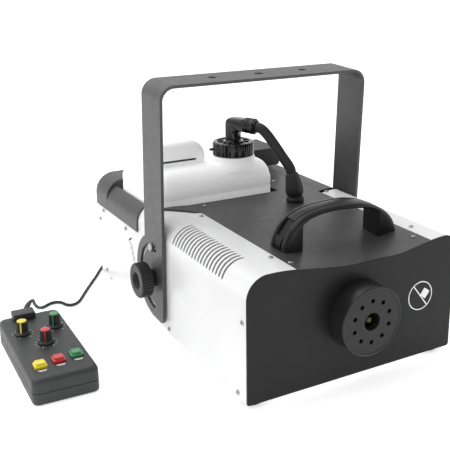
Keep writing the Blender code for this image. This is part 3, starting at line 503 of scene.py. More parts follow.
def faded_z(x, y):
    """Top of the black cover: dished at the front panel, level from seam to seam further back."""
    if x <= SEAM_L or x >= SEAM_R:
        return top_z(x)
    a, b = top_z(SEAM_L), top_z(SEAM_R)
    level = a + (b - a) * (x - SEAM_L) / (SEAM_R - SEAM_L)
    f = 0.5 + 0.5 * math.cos(math.pi * min(1.0, max(0.0, y / FADE)))
    return level + (top_z(x) - level) * f


def section(off, z_low=0.0, n_arc=20):
    pts = [(-HALF_W + off, up(z_low))]
    cz = TOP_L - R_LEFT
    for i in range(n_arc + 1):
        t = math.pi - 0.5 * math.pi * i / n_arc
        pts.append((-HALF_W + R_LEFT + (R_LEFT - off) * math.cos(t), up(cz + (R_LEFT - off) * math.sin(t))))
    x = -118.0
    while x < 134.0:
        pts.append((x, up(top_z(x) - off)))
        x += 4.0
    cz = TOP_R - R_RIGHT
    for i in range(n_arc + 1):
        t = 0.5 * math.pi - 0.5 * math.pi * i / n_arc
        pts.append((HALF_W - R_RIGHT + (R_RIGHT - off) * math.cos(t), up(cz + (R_RIGHT - off) * math.sin(t))))
    pts.append((HALF_W - off, up(z_low)))
    return pts


def between(pts, x0, x1):
    out = []
    for (xa, za), (xb, zb) in zip(pts, pts[1:]):
        lo, hi = max(min(xa, xb), x0), min(max(xa, xb), x1)
        if hi < lo:
            continue
        if abs(xb - xa) < 1e-9:
            seg = [(xa, za), (xb, zb)]
        else:
            def f(x):
                return (x, za + (zb - za) * (x - xa) / (xb - xa))
            seg = [f(lo), f(hi)]
        for q in seg:
            if not out or math.hypot(q[0] - out[-1][0], q[1] - out[-1][1]) > 1e-6:
                out.append(q)
    return out


def arc_share(pts):
    """Share of the outline's length at each point."""
    run = [0.0]
    for a, b in zip(pts, pts[1:]):
        run.append(run[-1] + math.hypot(b[0] - a[0], b[1] - a[1]))
    return [r / run[-1] for r in run]


def sheet_part(name, outer, inner, y0, y1, **kw):
    """Bent sheet: outer and inner outline extruded along Y, y1 is a number or a function of the outline's point."""
    ring = list(outer) + list(reversed(inner))
    ends = [y1(u, v) if callable(y1) else y1 for u, v in ring]
    starts = [y0(u, v) if callable(y0) else y0 for u, v in ring]
    a = [(x, s, z) for (x, z), s in zip(ring, starts)]
    b = [(x, e, z) for (x, z), e in zip(ring, ends)]
    n, no = len(ring), len(outer)
    verts = a + b
    faces = []
    for j in range(n):
        k = (j + 1) % n
        faces.append((j, k, n + k, n + j))
    for base, flip in ((0, False), (n, True)):
        for i in range(no - 1):
            q = (base + i, base + i + 1, base + n - 2 - i, base + n - 1 - i)
            faces.append(tuple(reversed(q)) if flip else q)
    return new_object(name, verts, faces, **kw)


# front panel
outline = [(-HALF_W + 3, up(0)), (-HALF_W + 0.9, up(0.9)), (-HALF_W, up(3))] + section(0.0, z_low=3.0, n_arc=28)[1:-1] + [(HALF_W, up(3)), (HALF_W - 0.9, up(0.9)), (HALF_W - 3, up(0))]
front = prism("front_plate", outline, "y", 0.0, 3.0)
boolean(front, [prism("k", circle(NOZ_X, up(NOZ_Z), 15.0, 48), "y", -2, 6)])
dress(front, M_PLATE, "root", ("front_panel",), edge=0.7, segments=3, angle=50)

# white front covers with their vent slits
o1, o2 = 0.6, 0.6 + SHEET
cover_l = sheet_part("cover_left", between(section(o1), -400, SEAM_L - 0.15), between(section(o2), -400, SEAM_L - 0.15), 3.3,
                     lambda x, z: 222.0 + 20.0 * max(0.0, min(1.0, (z - up(100.0)) / 54.0)) ** 1.5)
cutters = []
for i in range(18):
    y = 61.0 + i * 7.85
    cutters.append(block("k", -160.0, -121.0, y - 1.9, y + 1.9, up(134.0), up(170.0)))
    cutters.append(prism("k", circle(y, up(134.0), 1.9, 16), "x", -160.0, -140.0))
    cutters.append(prism("k", circle(-121.0, y, 1.9, 16), "z", up(145.0), up(170.0)))
slits = joined("k_slits", cutters)
boolean(cover_l, [slits], use_self=True)
dress(cover_l, M_WHITE, "root", ("front_cover_left",), edge=0.35, segments=2, angle=50)

# painted shade: a near-black sheet behind the left vent slits stands for the shade inside the case, seen through the
# slits
vent_shade_outer = between(section(o2 + 0.15), -146.9, -112.0)
vent_shade_inner = between(section(o2 + 0.5), -146.5, -112.0)
vent_shade_piece = sheet_part("vent_painted_shade_left", [q for q in vent_shade_outer if q[1] > up(128.0)], [q for q in vent_shade_inner if q[1] > up(128.0)], 56.0, 199.0)
dress(vent_shade_piece, M_DARK, "root")
cover_r = sheet_part("cover_right", between(section(o1), SEAM_R + 0.15, 400), between(section(o2), SEAM_R + 0.15, 400), 3.3,
                     lambda x, z: 222.0 + 20.0 * max(0.0, min(1.0, (z - up(100.0)) / 53.0)) ** 1.5)
cutters = []
for i in range(18):
    y = 61.0 + i * 7.85
    cutters.append(block("k", 131.0, 160.0, y - 1.8, y + 1.8, up(118.0), up(147.0)))
    cutters.append(prism("k", circle(y, up(118.0), 1.8, 16), "x", 140.0, 160.0))
slits = joined("k_slits_r", cutters)
boolean(cover_r, [slits], use_self=True)
dress(cover_r, M_WHITE, "root", ("front_cover_right",), edge=0.35, segments=2, angle=50)

# rear white side panels with slanted louvres
p1, p2 = 3.0, 3.0 + SHEET
rsl = sheet_part("side_rear_left", between(section(p1), -400, SEAM_L - 0.15), between(section(p2), -400, SEAM_L - 0.15), 214.0, 476.2)
cutters = [block("k", -160, -60, 318.0, 490, up(122.0), up(200)), block("k", -134.6, -60, 281.5, 490, up(100.0), up(200))]
for i in range(6):
    z = 54.0 + i * 7.6
    yc = 331.0 + i * 3.4
    tilt = math.atan2(11.0, 6.4)
    cutters.append(prism("k", stadium(yc, up(z), 5.6, 1.35, 8, -tilt if i < 5 else tilt), "x", -170.0, -130.0))
boolean(rsl, cutters)
dress(rsl, M_WHITE, "root", ("rear_side_left",), edge=0.35, segments=2, angle=50)

full_r = section(p1, n_arc=20)
rsr = sheet_part("side_rear_right", between(section(p1), 135.2, 400), between(section(p2), 135.2, 400), 214.0, 476.2)
cutters = [block("k", 100, 160, 200.0, 490, up(122.0), up(200))]
for i in range(6):
    z = 54.0 + i * 7.6
    yc = 331.0 + i * 3.4
    cutters.append(prism("k", stadium(yc, up(z), 5.6, 1.35, 8, -math.atan2(11.0, 6.4)), "x", 130.0, 170.0))
boolean(rsr, cutters)
dress(rsr, M_WHITE, "root", ("rear_side_right",), edge=0.35, segments=2, angle=50)

# black top cover: dished at the front, level further back
tc_out, tc_in = between(section(o1, z_low=113.0), -126.0, 400), between(section(o2, z_low=113.0), -126.0, 400)
tc_loops = []
for y in [3.3] + [12.0 * k for k in range(1, 14)] + [FADE, 200.0, 431.0]:
    tc_loops.append([(x, y, z + (faded_z(x, y) - top_z(x) if SEAM_L < x < SEAM_R else 0.0)) for x, z in list(tc_out) + list(reversed(tc_in))])
tc_n, tc_no = len(tc_loops[0]), len(tc_out)
tc_v = [q for ring in tc_loops for q in ring]
tc_f = []
for i in range(len(tc_loops) - 1):
    for j in range(tc_n):
        k = (j + 1) % tc_n
        tc_f.append((i * tc_n + j, i * tc_n + k, (i + 1) * tc_n + k, (i + 1) * tc_n + j))
for base_i in (0, (len(tc_loops) - 1) * tc_n):
    for i in range(tc_no - 1):
        q = (base_i + i, base_i + i + 1, base_i + tc_n - 2 - i, base_i + tc_n - 1 - i)
        tc_f.append(tuple(reversed(q)) if base_i else q)
tc = new_object("top_plate", tc_v, tc_f)
boolean(tc, [block("k", SEAM_R - 0.15, 170, -5, 250.0, up(90.0), up(200)), block("k", -134.0, 64.0, 281.8, 440, up(100.0), up(200), r=6),
             prism("k", [(-150.0, -10.0), (SEAM_L + 0.15, -10.0), (SEAM_L + 0.15, 243.5), (-126.0, 277.7), (-150.0, 277.7)], "z", up(100.0), up(200))])
dress(tc, M_BLACK, "root", ("top_cover",), edge=0.4, segments=2, angle=50)

shoulder = sheet_part("shoulder_left", between(section(o1, z_low=113.0), -400, -133.5), between(section(o2, z_low=113.0), -400, -133.5), 314.0, 431.0)
dress(shoulder, M_BLACK, "root", ("rear_shoulder_left",), edge=0.4, segments=2, angle=50)


def rear_section(off, z_low, n=20):
    pts = [(-HALF_W + 0.6 + off, up(z_low))]
    for i in range(n + 1):
        t = math.pi - 0.5 * math.pi * i / n
        pts.append((-120.0 + (29.4 - off) * math.cos(t), up(130.6 + (29.4 - off) * math.sin(t))))
    for i in range(n + 1):
        t = 0.5 * math.pi - 0.5 * math.pi * i / n
        pts.append((134.4 + (15.0 - off) * math.cos(t), up(145.0 + (15.0 - off) * math.sin(t))))
    pts.append((HALF_W - 0.6 - off, up(z_low)))
    return pts


rear = prism("rear_hood", rear_section(0.0, 113.0), "y", 431.3, 478.0)
boolean(rear, [prism("k", rear_section(SHEET, 90.0), "y", 432.8, 490.0), block("k", -147.8, 147.8, 425.0, 440.0, up(90.0), up(123.0))])
dress(rear, M_BLACK, "root", ("rear_cover",), edge=0.5, segments=2, angle=50)

# ================================================================ tank
tx0, tx1, ty0, ty1 = -130.0, 60.0, 285.0, 427.0


def tank_ring(inset, z, r):
    return [(u, v, up(z)) for u, v in rect(tx0 + inset, tx1 - inset, ty0 + inset, ty1 - inset, max(r - inset * 0.6, 4.0), 10)]


loops = [tank_ring(4.5, 94.0, 20.0), tank_ring(1.6, 95.2, 20.0), tank_ring(0.0, 98.0, 20.0), tank_ring(0.0, 120.0, 20.0), tank_ring(0.0, 157.6, 20.0), tank_ring(0.5, 158.6, 20.0), tank_ring(0.5, 160.4, 20.0), tank_ring(0.0, 161.4, 20.0), tank_ring(0.0, 172.0, 20.0)]
for i in range(1, 13):
    t = math.radians(90.0 * i / 12)
    loops.append(tank_ring(22.0 - 22.0 * math.cos(t), 172.0 + 26.0 * math.sin(t), 24.0))
tank = rings("fluid_tank", loops, angle=60)
neck = turned("k_neck", "z", (CAP_X, CAP_Y, up(0)), [(34.5, 188.0), (33.0, 195.5), (31.9, 197.6), (31.4, 200.0), (31.4, 203.4), (30.9, 204.6), (30.0, 205.0), (30.0, 206.7)], n=64)
hump_pts = []
for cu, cv, rr, a0, a1 in ((-102.0, 205.5, 26.0, 180, 90), (-60.0, 207.0, 26.0, 90, 0)):
    for i in range(13):
        t = math.radians(a0 + (a1 - a0) * i / 12)
        hump_pts.append((cu + rr * math.cos(t), up(cv + rr * math.sin(t))))
hump_pts = [(-128.0, up(186.0))] + hump_pts + [(-34.0, up(186.0))]
hump_loops = []
for k in range(9):
    t = math.radians(90.0 * k / 8)
    hump_loops.append((9.0 * (1 - math.sin(t)), 322.0 + 9.0 * (1 - math.cos(t))))
hump_loops = hump_loops + [(i, 700.0 - y) for i, y in reversed(hump_loops)]
hl = []
for inset, y in hump_loops:
    hl.append([(-81.0 + (u + 81.0) * (1 - inset / 46.0), y, v - (inset if v > up(187) else 0)) for u, v in hump_pts])
hump = rings("k_hump", hl, angle=60)
boolean(tank, [neck, hump], "UNION", angle=50)
boolean(tank, [block("k", -140, -50.0, 310.0, 334.0, up(203.2), up(206.6), r=1.6, axis="y")], angle=50)
# painted light: a faint white emission on the tank plastic makes the tank glow a little, brighter than the lamps alone
# light it
_tank_glow_bsdf = M_TANK.node_tree.nodes["Principled BSDF"]
_tank_glow_bsdf.inputs["Emission Color"].default_value = (1.0, 1.0, 1.0, 1.0)
_tank_glow_bsdf.inputs["Emission Strength"].default_value = 0.16
dress(tank, M_TANK, "tank", ("tank",), edge=1.2, segments=3, angle=38)
gap_fill = block("tank_grip_shadow", -124.0, -50.6, 323.8, 333.6, up(203.6), up(206.2), r=1.2, axis="y")
dress(gap_fill, M_DARK, "tank", edge=0.2)

# screw cap with its ribs
def lobes(r, depth, count, n, share=0.7, a0=0.0):
    pts = []
    for i in range(n):
        t = 2 * math.pi * i / n
        ph = ((t + a0) * count / (2 * math.pi)) % 1.0
        e = 0.10
        if ph < e:
            f = ph / e
        elif ph < share:
            f = 1.0
        elif ph < share + e:
            f = 1 - (ph - share) / e
        else:
            f = 0.0
        f = f * f * (3 - 2 * f)
        pts.append((t, r - depth * (1 - f)))
    return pts


NC = 240
cap_loops = []
for r, h, d in ((28.6, 207.0, 0.0), (29.9, 207.2, 0.0), (30.5, 207.9, 0.4), (30.5, 209.6, 1.6), (30.5, 222.6, 1.6), (30.3, 224.0, 1.2), (29.7, 225.2, 0.6), (28.8, 226.2, 0.0), (27.8, 226.6, 0.0), (24.4, 226.6, 0.0), (23.7, 226.2, 0.0), (23.4, 225.2, 0.0),
                (22.9, 224.6, 0.0), (15.8, 224.6, 0.0), (15.3, 225.0, 0.0), (15.0, 226.8, 0.0), (14.5, 227.4, 0.0), (11.6, 227.5, 0.0), (11.1, 228.3, 0.0), (10.6, 228.5, 0.0)):
    cap_loops.append([(CAP_X + rr * math.cos(t), CAP_Y + rr * math.sin(t), up(h)) for t, rr in lobes(r, d, 20, NC, 0.68)])
cap = rings("screw_cap", cap_loops, angle=40)
ribs = []
for i in range(10):
    a = 2 * math.pi * i / 10 + 0.2
    c, s = math.cos(a), math.sin(a)
    q = [(15.2, -1.0), (23.9, -1.0), (23.9, 1.0), (15.2, 1.0)]
    ribs.append(prism("k", [(CAP_X + u * c - v * s, CAP_Y + u * s + v * c) for u, v in q], "z", up(224.0), up(226.3)))
lug_a = math.radians(168)
q = [(29.7, -2.2), (36.0, -1.6), (36.0, 1.6), (29.7, 2.2)]
ribs.append(prism("k", [(CAP_X + u * math.cos(lug_a) - v * math.sin(lug_a), CAP_Y + u * math.sin(lug_a) + v * math.cos(lug_a)) for u, v in q], "z", up(214.5), up(217.5)))
boolean(cap, ribs, "UNION", angle=40)
dress(cap, M_GLOSS, "tank_cap", ("tank_cap",), edge=0.3, segments=2, angle=45)

hd = Vector((HOSE_X - CAP_X, HOSE_Y - CAP_Y, 0.0)).normalized()


def on_line(s, z):
    return (CAP_X + hd.x * s, CAP_Y + hd.y * s, up(z))


# elbow: flat-topped moulded body and a ringed nut
perp = Vector((-hd.y, hd.x, 0.0))
elbow_out = []
for cs, cz, r, a0, a1 in ((0.0, 252.2, 9.2, 180, 90),):
    for i in range(9):
        t = math.radians(a0 + (a1 - a0) * i / 8)
        elbow_out.append((cs + r * math.cos(t), cz + r * math.sin(t)))
elbow_side = [(-8.9, 228.9)] + elbow_out + [(20.0, 261.4), (22.6, 261.4), (22.6, 242.6), (13.0, 242.6), (10.6, 241.8), (9.2, 239.6), (8.9, 228.9)]
el = []
for w, inset in ((-9.2, 2.6), (-8.4, 1.1), (-7.0, 0.2), (-5.6, 0.0), (5.6, 0.0), (7.0, 0.2), (8.4, 1.1), (9.2, 2.6)):
    ring = []
    m = len(elbow_side)
    for i, (u, v) in enumerate(elbow_side):
        a, b = Vector(elbow_side[i - 1]), Vector(elbow_side[(i + 1) % m])
        d = (b - a).normalized()
        nrm = Vector((d.y, -d.x))
        fu, fv = u + nrm.x * inset, v + nrm.y * inset
        if v < 229.0:
            fv = v
        ring.append((CAP_X + hd.x * fu + perp.x * w, CAP_Y + hd.y * fu + perp.y * w, up(fv)))
    el.append(ring)
elbow = rings("elbow_body", el, angle=35)
nut_prof = [(19.6, 8.0), (20.8, 9.6), (22.0, 9.9), (22.6, 10.6)]
for i in range(4):
    s = 23.0 + i * 2.6
    nut_prof += [(s, 11.2), (s + 1.5, 11.2), (s + 1.8, 10.3), (s + 2.4, 10.3)]
nut_prof += [(33.5, 11.5), (37.0, 11.5), (37.4, 11.0), (37.6, 9.8), (39.6, 9.4), (40.0, 8.6)]
nut_loops = []
for s, r in nut_prof:
    ring = []
    z = 251.9 if s < 30 else 251.4
    for j in range(48):
        t = 2 * math.pi * j / 48
        ring.append((CAP_X + hd.x * s + perp.x * r * math.cos(t), CAP_Y + hd.y * s + perp.y * r * math.cos(t), up(z + r * math.sin(t))))
    nut_loops.append(ring)
NUT = rings("elbow_nut", nut_loops, angle=35)

# hose, drawn as one curved tube from the fixed gland to the tank's elbow
hose_pts = ((40.3, 250.9), (44.5, 250.3), (50.6, 247.6), (56.6, 242.6), (63.1, 235.8), (69.6, 228.4), (76.1, 220.8), (82.6, 212.8), (88.3, 206.4), (92.9, 201.0), (95.9, 195.9), (97.0, 191.2))
hose_path = smooth_curve([on_line(s, z) for s, z in hose_pts], 1.6)
hose = rings("fluid_line", sweep_loops(hose_path, [7.2] * len(hose_path), 32), angle=60)
hose.data.materials.append(M_HOSE)
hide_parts("fluid_hose")

sleeve_pts = ((103.6, 151.1, 12.0), (103.6, 151.9, 12.5), (103.6, 156.2, 12.5), (103.6, 157.0, 12.0), (103.55, 157.6, 10.6), (103.5, 159.4, 10.2), (103.3, 160.6, 10.8), (103.1, 161.8, 11.9), (102.7, 164.4, 12.5), (102.3, 167.0, 12.7),
              (101.8, 170.2, 12.6), (101.3, 173.5, 12.1), (100.5, 177.5, 11.4), (99.7, 181.0, 10.7), (98.9, 184.5, 10.1), (98.1, 187.8, 9.5), (97.3, 190.2, 9.0), (97.1, 190.9, 8.4))
sleeve = rings("hose_sleeve", sweep_loops([on_line(s, z) for s, z, r in sleeve_pts], [r for s, z, r in sleeve_pts], 48), angle=40)
dress(sleeve, M_HOSE, "root", ("hose_gland",))
dress(elbow, M_GLOSS, "tank", ("cap_elbow",), edge=0.5, segments=2, angle=40)
dress(NUT, M_GLOSS, "tank")
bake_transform(hose)

# ================================================================ carrying handle
rim = [(-67.5, 149.0), (-66.0, 159.0), (-61.5, 168.5), (-56.5, 176.5), (-49.0, 183.6), (-41.0, 188.4), (-31.5, 191.8), (-21.0, 194.0), (-9.8, 195.4), (4.5, 196.3), (19.0, 196.4), (32.0, 195.8), (44.0, 194.2), (55.0, 191.8), (66.0, 188.2), (76.0, 183.2), (84.5, 177.6), (92.0, 171.0), (97.5, 163.6), (100.8, 156.0), (102.3, 149.0)]
win = [(-39.3, 149.0), (-39.3, 178.6), (-34.0, 182.0), (-27.6, 184.9), (-19.0, 187.0), (-9.6, 188.6), (11.4, 189.6), (32.9, 188.4), (42.0, 187.2), (52.1, 185.4), (60.0, 183.4), (66.2, 181.6), (72.4, 178.8), (72.4, 149.0)]


def fine2(pts, step):
    return [(p.x, p.y) for p in (Vector((q.x, q.y)) for q in smooth_curve([(u, v, 0.0) for u, v in pts], step))]


rim_f = fine2(rim, 3.0)
win_top = fine2(win[1:-1], 3.0)
foot_r = [(x, top_z(x) - 0.6 + 0.3) for x in (102.3, 97.0, 90.0, 82.0, 72.4)]
foot_l = [(x, top_z(x) - 0.6 + 0.3) for x in (-39.3, -48.0, -58.0, -67.5)]
outline = [(u, up(v)) for u, v in rim_f[1:-1] + foot_r + list(reversed(win_top)) + foot_l]
kinds = ["rim"] * (len(rim_f) - 2) + ["foot"] * len(foot_r) + ["win"] * len(win_top) + ["foot"] * len(foot_l)
PROFILE = [(57.0, 4.2, 2.4), (57.5, 2.8, 1.4), (58.6, 1.4, 0.6), (60.2, 0.5, 0.1), (62.0, 0.1, 0.0), (64.2, 0.0, 0.0), (64.6, 0.9, 0.0), (65.8, 1.1, 0.0), (66.3, 0.2, 0.0), (68.6, -0.25, 0.0), (74.0, -0.55, 0.0), (79.4, -0.25, 0.0), (81.7, 0.2, 0.0), (82.2, 1.1, 0.0), (83.4, 0.9, 0.0), (83.8, 0.0, 0.0),
           (86.0, 0.1, 0.0), (87.8, 0.5, 0.1), (89.4, 1.4, 0.6), (90.5, 2.8, 1.4), (91.0, 4.2, 2.4)]
h_loops = []
m = len(outline)
for y, ri, wi in PROFILE:
    ring = []
    for i, (u, v) in enumerate(outline):
        a, b = Vector(outline[i - 1]), Vector(outline[(i + 1) % m])
        d = (b - a).normalized()
        nrm = Vector((d.y, -d.x))
        k = {"rim": ri, "win": wi, "foot": 0.0}[kinds[i]]
        if kinds[i] == "foot":
            v = up(faded_z(u, y) - 0.3)
            e = min(abs(u - 102.3), abs(u + 67.5), abs(u - 72.4), abs(u + 39.3))
            if abs(u - 102.3) < 0.1 or abs(u + 67.5) < 0.1:
                uu = u - math.copysign(ri * 0.7, u - 17.0)
                ring.append((uu, y, v))
                continue
            if abs(u - 72.4) < 0.1 or abs(u + 39.3) < 0.1:
                ring.append((u + math.copysign(wi, u - 17.0), y, v))
                continue
            ring.append((u, y, v))
            continue
        ring.append((u + nrm.x * k, y, v + nrm.y * k))
    h_loops.append(ring)
handle = rings("grip_handle", h_loops, angle=32)
# pocket on the left shoulder, with a sheet of painted shade in its floor, and the ridges under it
pa, pb = Vector((-63.0, 165.4)), Vector((-47.6, 184.6))
dirv = (pb - pa).normalized()
nv = Vector((-dirv.y, dirv.x))
pocket = [pa + nv * 6.0, pb + nv * 6.0, pb - nv * 3.2, pa - nv * 3.2]
boolean(handle, [prism("k", [(p.x, up(p.y)) for p in pocket], "y", 65.0, 82.0)], angle=32)
dress(handle, M_HANDLE, "root", ("carry_handle",), edge=0.4, segments=2, angle=50)
# painted shade: a near-black sheet laid in the pocket's floor stands for the shade inside the pocket
pk = [pa + dirv * 0.4 - nv * 2.4, pb - dirv * 0.4 - nv * 2.4, pb - dirv * 0.4 - nv * 3.1, pa + dirv * 0.4 - nv * 3.1]
pocket_shade_piece = prism("grip_pocket_shade", [(p.x, up(p.y)) for p in pk], "y", 65.4, 81.6)
dress(pocket_shade_piece, M_DARK, "root")
ridges = []
for k in range(4):
    yy = 67.4 + k * 4.4
    pts = [(-67.9, 150.6), (-67.4, 155.0), (-65.6, 160.6), (-63.6, 164.6)]
    outl = [(u - 0.7, up(v)) for u, v in pts] + [(u + 1.6, up(v)) for u, v in reversed(pts)]
    ridges.append(prism("k", outl, "y", yy - 0.9, yy + 0.9))
ridge = joined("grip_ridges", ridges)
dress(ridge, M_HANDLE, "root", edge=0.5, segments=3, angle=40)

# ================================================================ nozzle guard
guard = turned("outlet_guard", "y", (NOZ_X, 0.0, up(NOZ_Z)), [(39.1, -26.3), (39.9, -26.3), (40.4, -27.0), (41.9, -27.0), (42.8, -26.2), (43.0, -25.2), (43.0, -0.3)], n=128, angle=30)
cutters = [prism("k", circle(NOZ_X, up(NOZ_Z), 11.0, 64), "y", -30.0, 4.0)]
for i in range(10):
    t = math.radians(36 * i)
    cutters.append(prism("k", circle(NOZ_X + 26.0 * math.sin(t), up(NOZ_Z) + 26.0 * math.cos(t), 2.8, 24), "y", -30.0, -14.0))
boolean(guard, cutters, angle=30)
dress(guard, M_GUARD, "root", ("nozzle_guard",), edge=0.3, segments=2, angle=50)
rim_line = []
for i in range(128):
    t = 2 * math.pi * i / 128
    rim_line.append(t)

# plain round sign printed on the front plate: ring, bar and a plain block
def flat_print(name, outlines, y, thick=0.12):
    return joined(name, [prism("k", o, "y", y - thick, y) for o in outlines])


SX, SZ, SR = 97.0, 81.0, 19.0
ring_o, ring_i = circle(SX, up(SZ), SR, 72), circle(SX, up(SZ), SR - 1.3, 72)
sign_ring = prism("k", ring_o, "y", -0.14, -0.02)
boolean(sign_ring, [prism("k", ring_i, "y", -1.0, 1.0)])
bar_t = math.radians(-52)
cb, sb = math.cos(bar_t), math.sin(bar_t)
bar = [(SX + u * cb - v * sb, up(SZ) + u * sb + v * cb) for u, v in ((-SR + 0.8, -0.75), (SR - 0.8, -0.75), (SR - 0.8, 0.75), (-SR + 0.8, 0.75))]
blk = [(SX + u, up(SZ) + v) for u, v in rect(-1.0, 9.6, 0.4, 11.6, 1.6, 4)]
rot = math.radians(-38)
blk = [(SX + (u - SX) * math.cos(rot) - (v - up(SZ)) * math.sin(rot), up(SZ) + (u - SX) * math.sin(rot) + (v - up(SZ)) * math.cos(rot)) for u, v in blk]
sign = joined("round_sign", [sign_ring, prism("k", bar, "y", -0.16, -0.02), prism("k", blk, "y", -0.14, -0.02)])
dress(sign, M_PRINT, "root")

# ================================================================ yoke
def arm_outline():
    R = 58.0
    pts = [(PIVOT_Y - YOKE_HALF, up(YOKE_TOP + 2)), (PIVOT_Y - YOKE_HALF, up(PIVOT_Z - R + 6))]
    for i in range(1, 7):
        t = math.radians(180 + 90 * i / 6)
        pts.append((PIVOT_Y - YOKE_HALF + 6 + 6 * math.cos(t), up(PIVOT_Z - R + 6 + 6 * math.sin(t))))
    a_end = math.acos(YOKE_HALF / R)
    for i in range(49):
        t = -math.pi / 2 + (math.pi / 2 + a_end) * i / 48
        pts.append((PIVOT_Y + R * math.cos(t), up(PIVOT_Z + R * math.sin(t))))
    for i in range(1, 9):
        f = i / 8.0
        pts.append((PIVOT_Y + YOKE_HALF, up(PIVOT_Z + 50.5 + 11.5 * f)))
    pts.append((PIVOT_Y + YOKE_HALF, up(YOKE_TOP + 2)))
    return pts


def yoke_profile(off, r):
    x, zt = YOKE_IN + off, YOKE_TOP - YOKE_T + off
    pts = [(-x, up(0.0))]
    for i in range(25):
        t = math.pi - 0.5 * math.pi * i / 24
        pts.append((-(x - r) + r * math.cos(t), up(zt - r + r * math.sin(t))))
    for i in range(25):
        t = 0.5 * math.pi - 0.5 * math.pi * i / 24
        pts.append(((x - r) + r * math.cos(t), up(zt - r + r * math.sin(t))))
    pts.append((x, up(0.0)))
    return pts


y_outer, y_inner = yoke_profile(YOKE_T, 20.0), yoke_profile(0.0, 16.0)
MOVE[0] = lean_point
yoke = prism("yoke_strap", y_outer + list(reversed(y_inner)), "y", PIVOT_Y - 62.0, PIVOT_Y + 62.0)
boolean(yoke, [prism("k", arm_outline(), "x", -170.0, 170.0)], "INTERSECT")
slot = []
a0, a1 = math.radians(97), math.radians(-90)
for i in range(49):
    t = a0 + (a1 - a0) * i / 48
    slot.append((PIVOT_Y + 46.0 * math.cos(t), up(PIVOT_Z + 46.0 * math.sin(t))))
for i in range(1, 10):
    t = a1 - math.pi * i / 10
    slot.append((PIVOT_Y + 42.0 * math.cos(a1) + 4.0 * math.cos(a1 - math.pi * i / 10 + 0) , up(PIVOT_Z + 42.0 * math.sin(a1) + 4.0 * math.sin(a1 - math.pi * i / 10))))
for i in range(48, -1, -1):
    t = a0 + (a1 - a0) * i / 48
    slot.append((PIVOT_Y + 38.0 * math.cos(t), up(PIVOT_Z + 38.0 * math.sin(t))))
for i in range(1, 10):
    t = a0 + math.pi - math.pi * i / 10
    slot.append((PIVOT_Y + 42.0 * math.cos(a0) + 4.0 * math.cos(t), up(PIVOT_Z + 42.0 * math.sin(a0) + 4.0 * math.sin(t))))
cutters = [prism("k", slot, "x", -170.0, 170.0), prism("k", circle(PIVOT_Y, up(PIVOT_Z), 5.0, 32), "x", -170.0, 170.0)]
for hx, hr in ((-69.0, 5.5), (0.0, 6.5), (69.0, 5.5)):
    cutters.append(prism("k", circle(hx, PIVOT_Y, hr, 40), "z", up(YOKE_TOP - 20), up(YOKE_TOP + 10)))
for c in cutters:
    boolean(yoke, [c])
MOVE[0] = None
dress(yoke, M_YOKE, "yoke", ("yoke",), edge=0.6, segments=3, angle=50)

# clamp knobs
for side, tag in ((-1, "left"), (1, "right")):
    NK = 216
    loops = []
    prof = ((9.0, 156.4, 0.0), (11.4, 156.4, 0.0), (12.0, 157.0, 0.0), (12.0, 162.0, 0.0), (13.2, 163.8, 0.0), (16.0, 164.6, 0.0), (21.6, 164.9, 0.0), (22.8, 165.5, 0.5), (23.5, 166.6, 1.1), (23.6, 168.0, 1.4), (23.6, 178.0, 1.4), (23.4, 179.6, 1.2),
            (22.8, 180.6, 0.7), (21.8, 181.15, 0.2), (20.6, 181.2, 0.0), (12.2, 181.2, 0.0), (11.5, 180.9, 0.0), (11.2, 180.2, 0.0), (10.9, 176.4, 0.0), (10.4, 175.8, 0.0), (4.0, 175.4, 0.0))
    for r, h, d in prof:
        loops.append([(side * h, PIVOT_Y + rr * math.cos(t), up(PIVOT_Z) + rr * math.sin(t)) for t, rr in lobes(r, d, 36, NK, 0.55)])
    kn = rings("clamp_knob_" + tag, loops, angle=45)
    dress(kn, M_PLASTIC, "knob_" + tag, ("knob_" + tag,))

# ================================================================ remote
SEAM = 15.0
MOVE[0] = swing_point


def rr_loop(x0, x1, y0, y1, r, z, n=10):
    return [(u, v, z) for u, v in rect(x0, x1, y0, y1, r, n)]


base_l = []
for ins, z in ((3.0, 0.0), (1.2, 0.5), (0.3, 1.6), (0.0, 3.2), (0.0, SEAM - 1.2), (0.0, SEAM - 0.6), (0.5, SEAM - 0.15)):
    base_l.append(rr_loop(rx0 + ins, rx1 - ins, ry0 + ins, ry1 - ins, 8.0 - ins * 0.6, z))
inner_l = [rr_loop(rx0 + 2.2, rx1 - 2.2, ry0 + 2.2, ry1 - 2.2, 4.4, z) for z in (SEAM - 0.15, 2.2)]
rbase = rings("remote_lower_shell", base_l + inner_l, angle=35)
dress(rbase, M_GREY, "root", ("remote_base",))
lid_l = []
for ins, z in ((0.5, SEAM + 0.15), (0.0, SEAM + 0.6), (0.0, SEAM + 1.2), (0.0, REM_H - 6.6), (0.2, REM_H - 4.4), (0.9, REM_H - 2.6), (2.0, REM_H - 1.3), (3.4, REM_H - 0.5), (5.4, REM_H - 0.05), (6.4, REM_H)):
    lid_l.append(rr_loop(rx0 + ins, rx1 - ins, ry0 + ins, ry1 - ins, max(8.0 - ins * 0.35, 3.0), z))
rlid = rings("remote_upper_shell", lid_l, angle=35)
cutters = [prism("k", rect(rx0 + 2.2, rx1 - 2.2, ry0 + 2.2, ry1 - 2.2, 4, 6), "z", 5.0, REM_H - 3.4)]
KNOBS = (("timer_knob_yellow", -335.0, 261.0, M_YELLOW, "yellow_plastic", 205), ("timer_knob_green", -293.0, 263.5, M_GREEN, "green_plastic", 200), ("timer_knob_red", -314.7, 222.8, M_RED, "red_plastic", 210))
BTNS = (("remote_button_yellow", -336.6, 166.0, M_YELLOW, "yellow_plastic"), ("remote_button_red", -313.6, 170.2, M_RED, "red_plastic"), ("remote_button_green", -291.2, 174.0, M_GREEN, "green_plastic"))
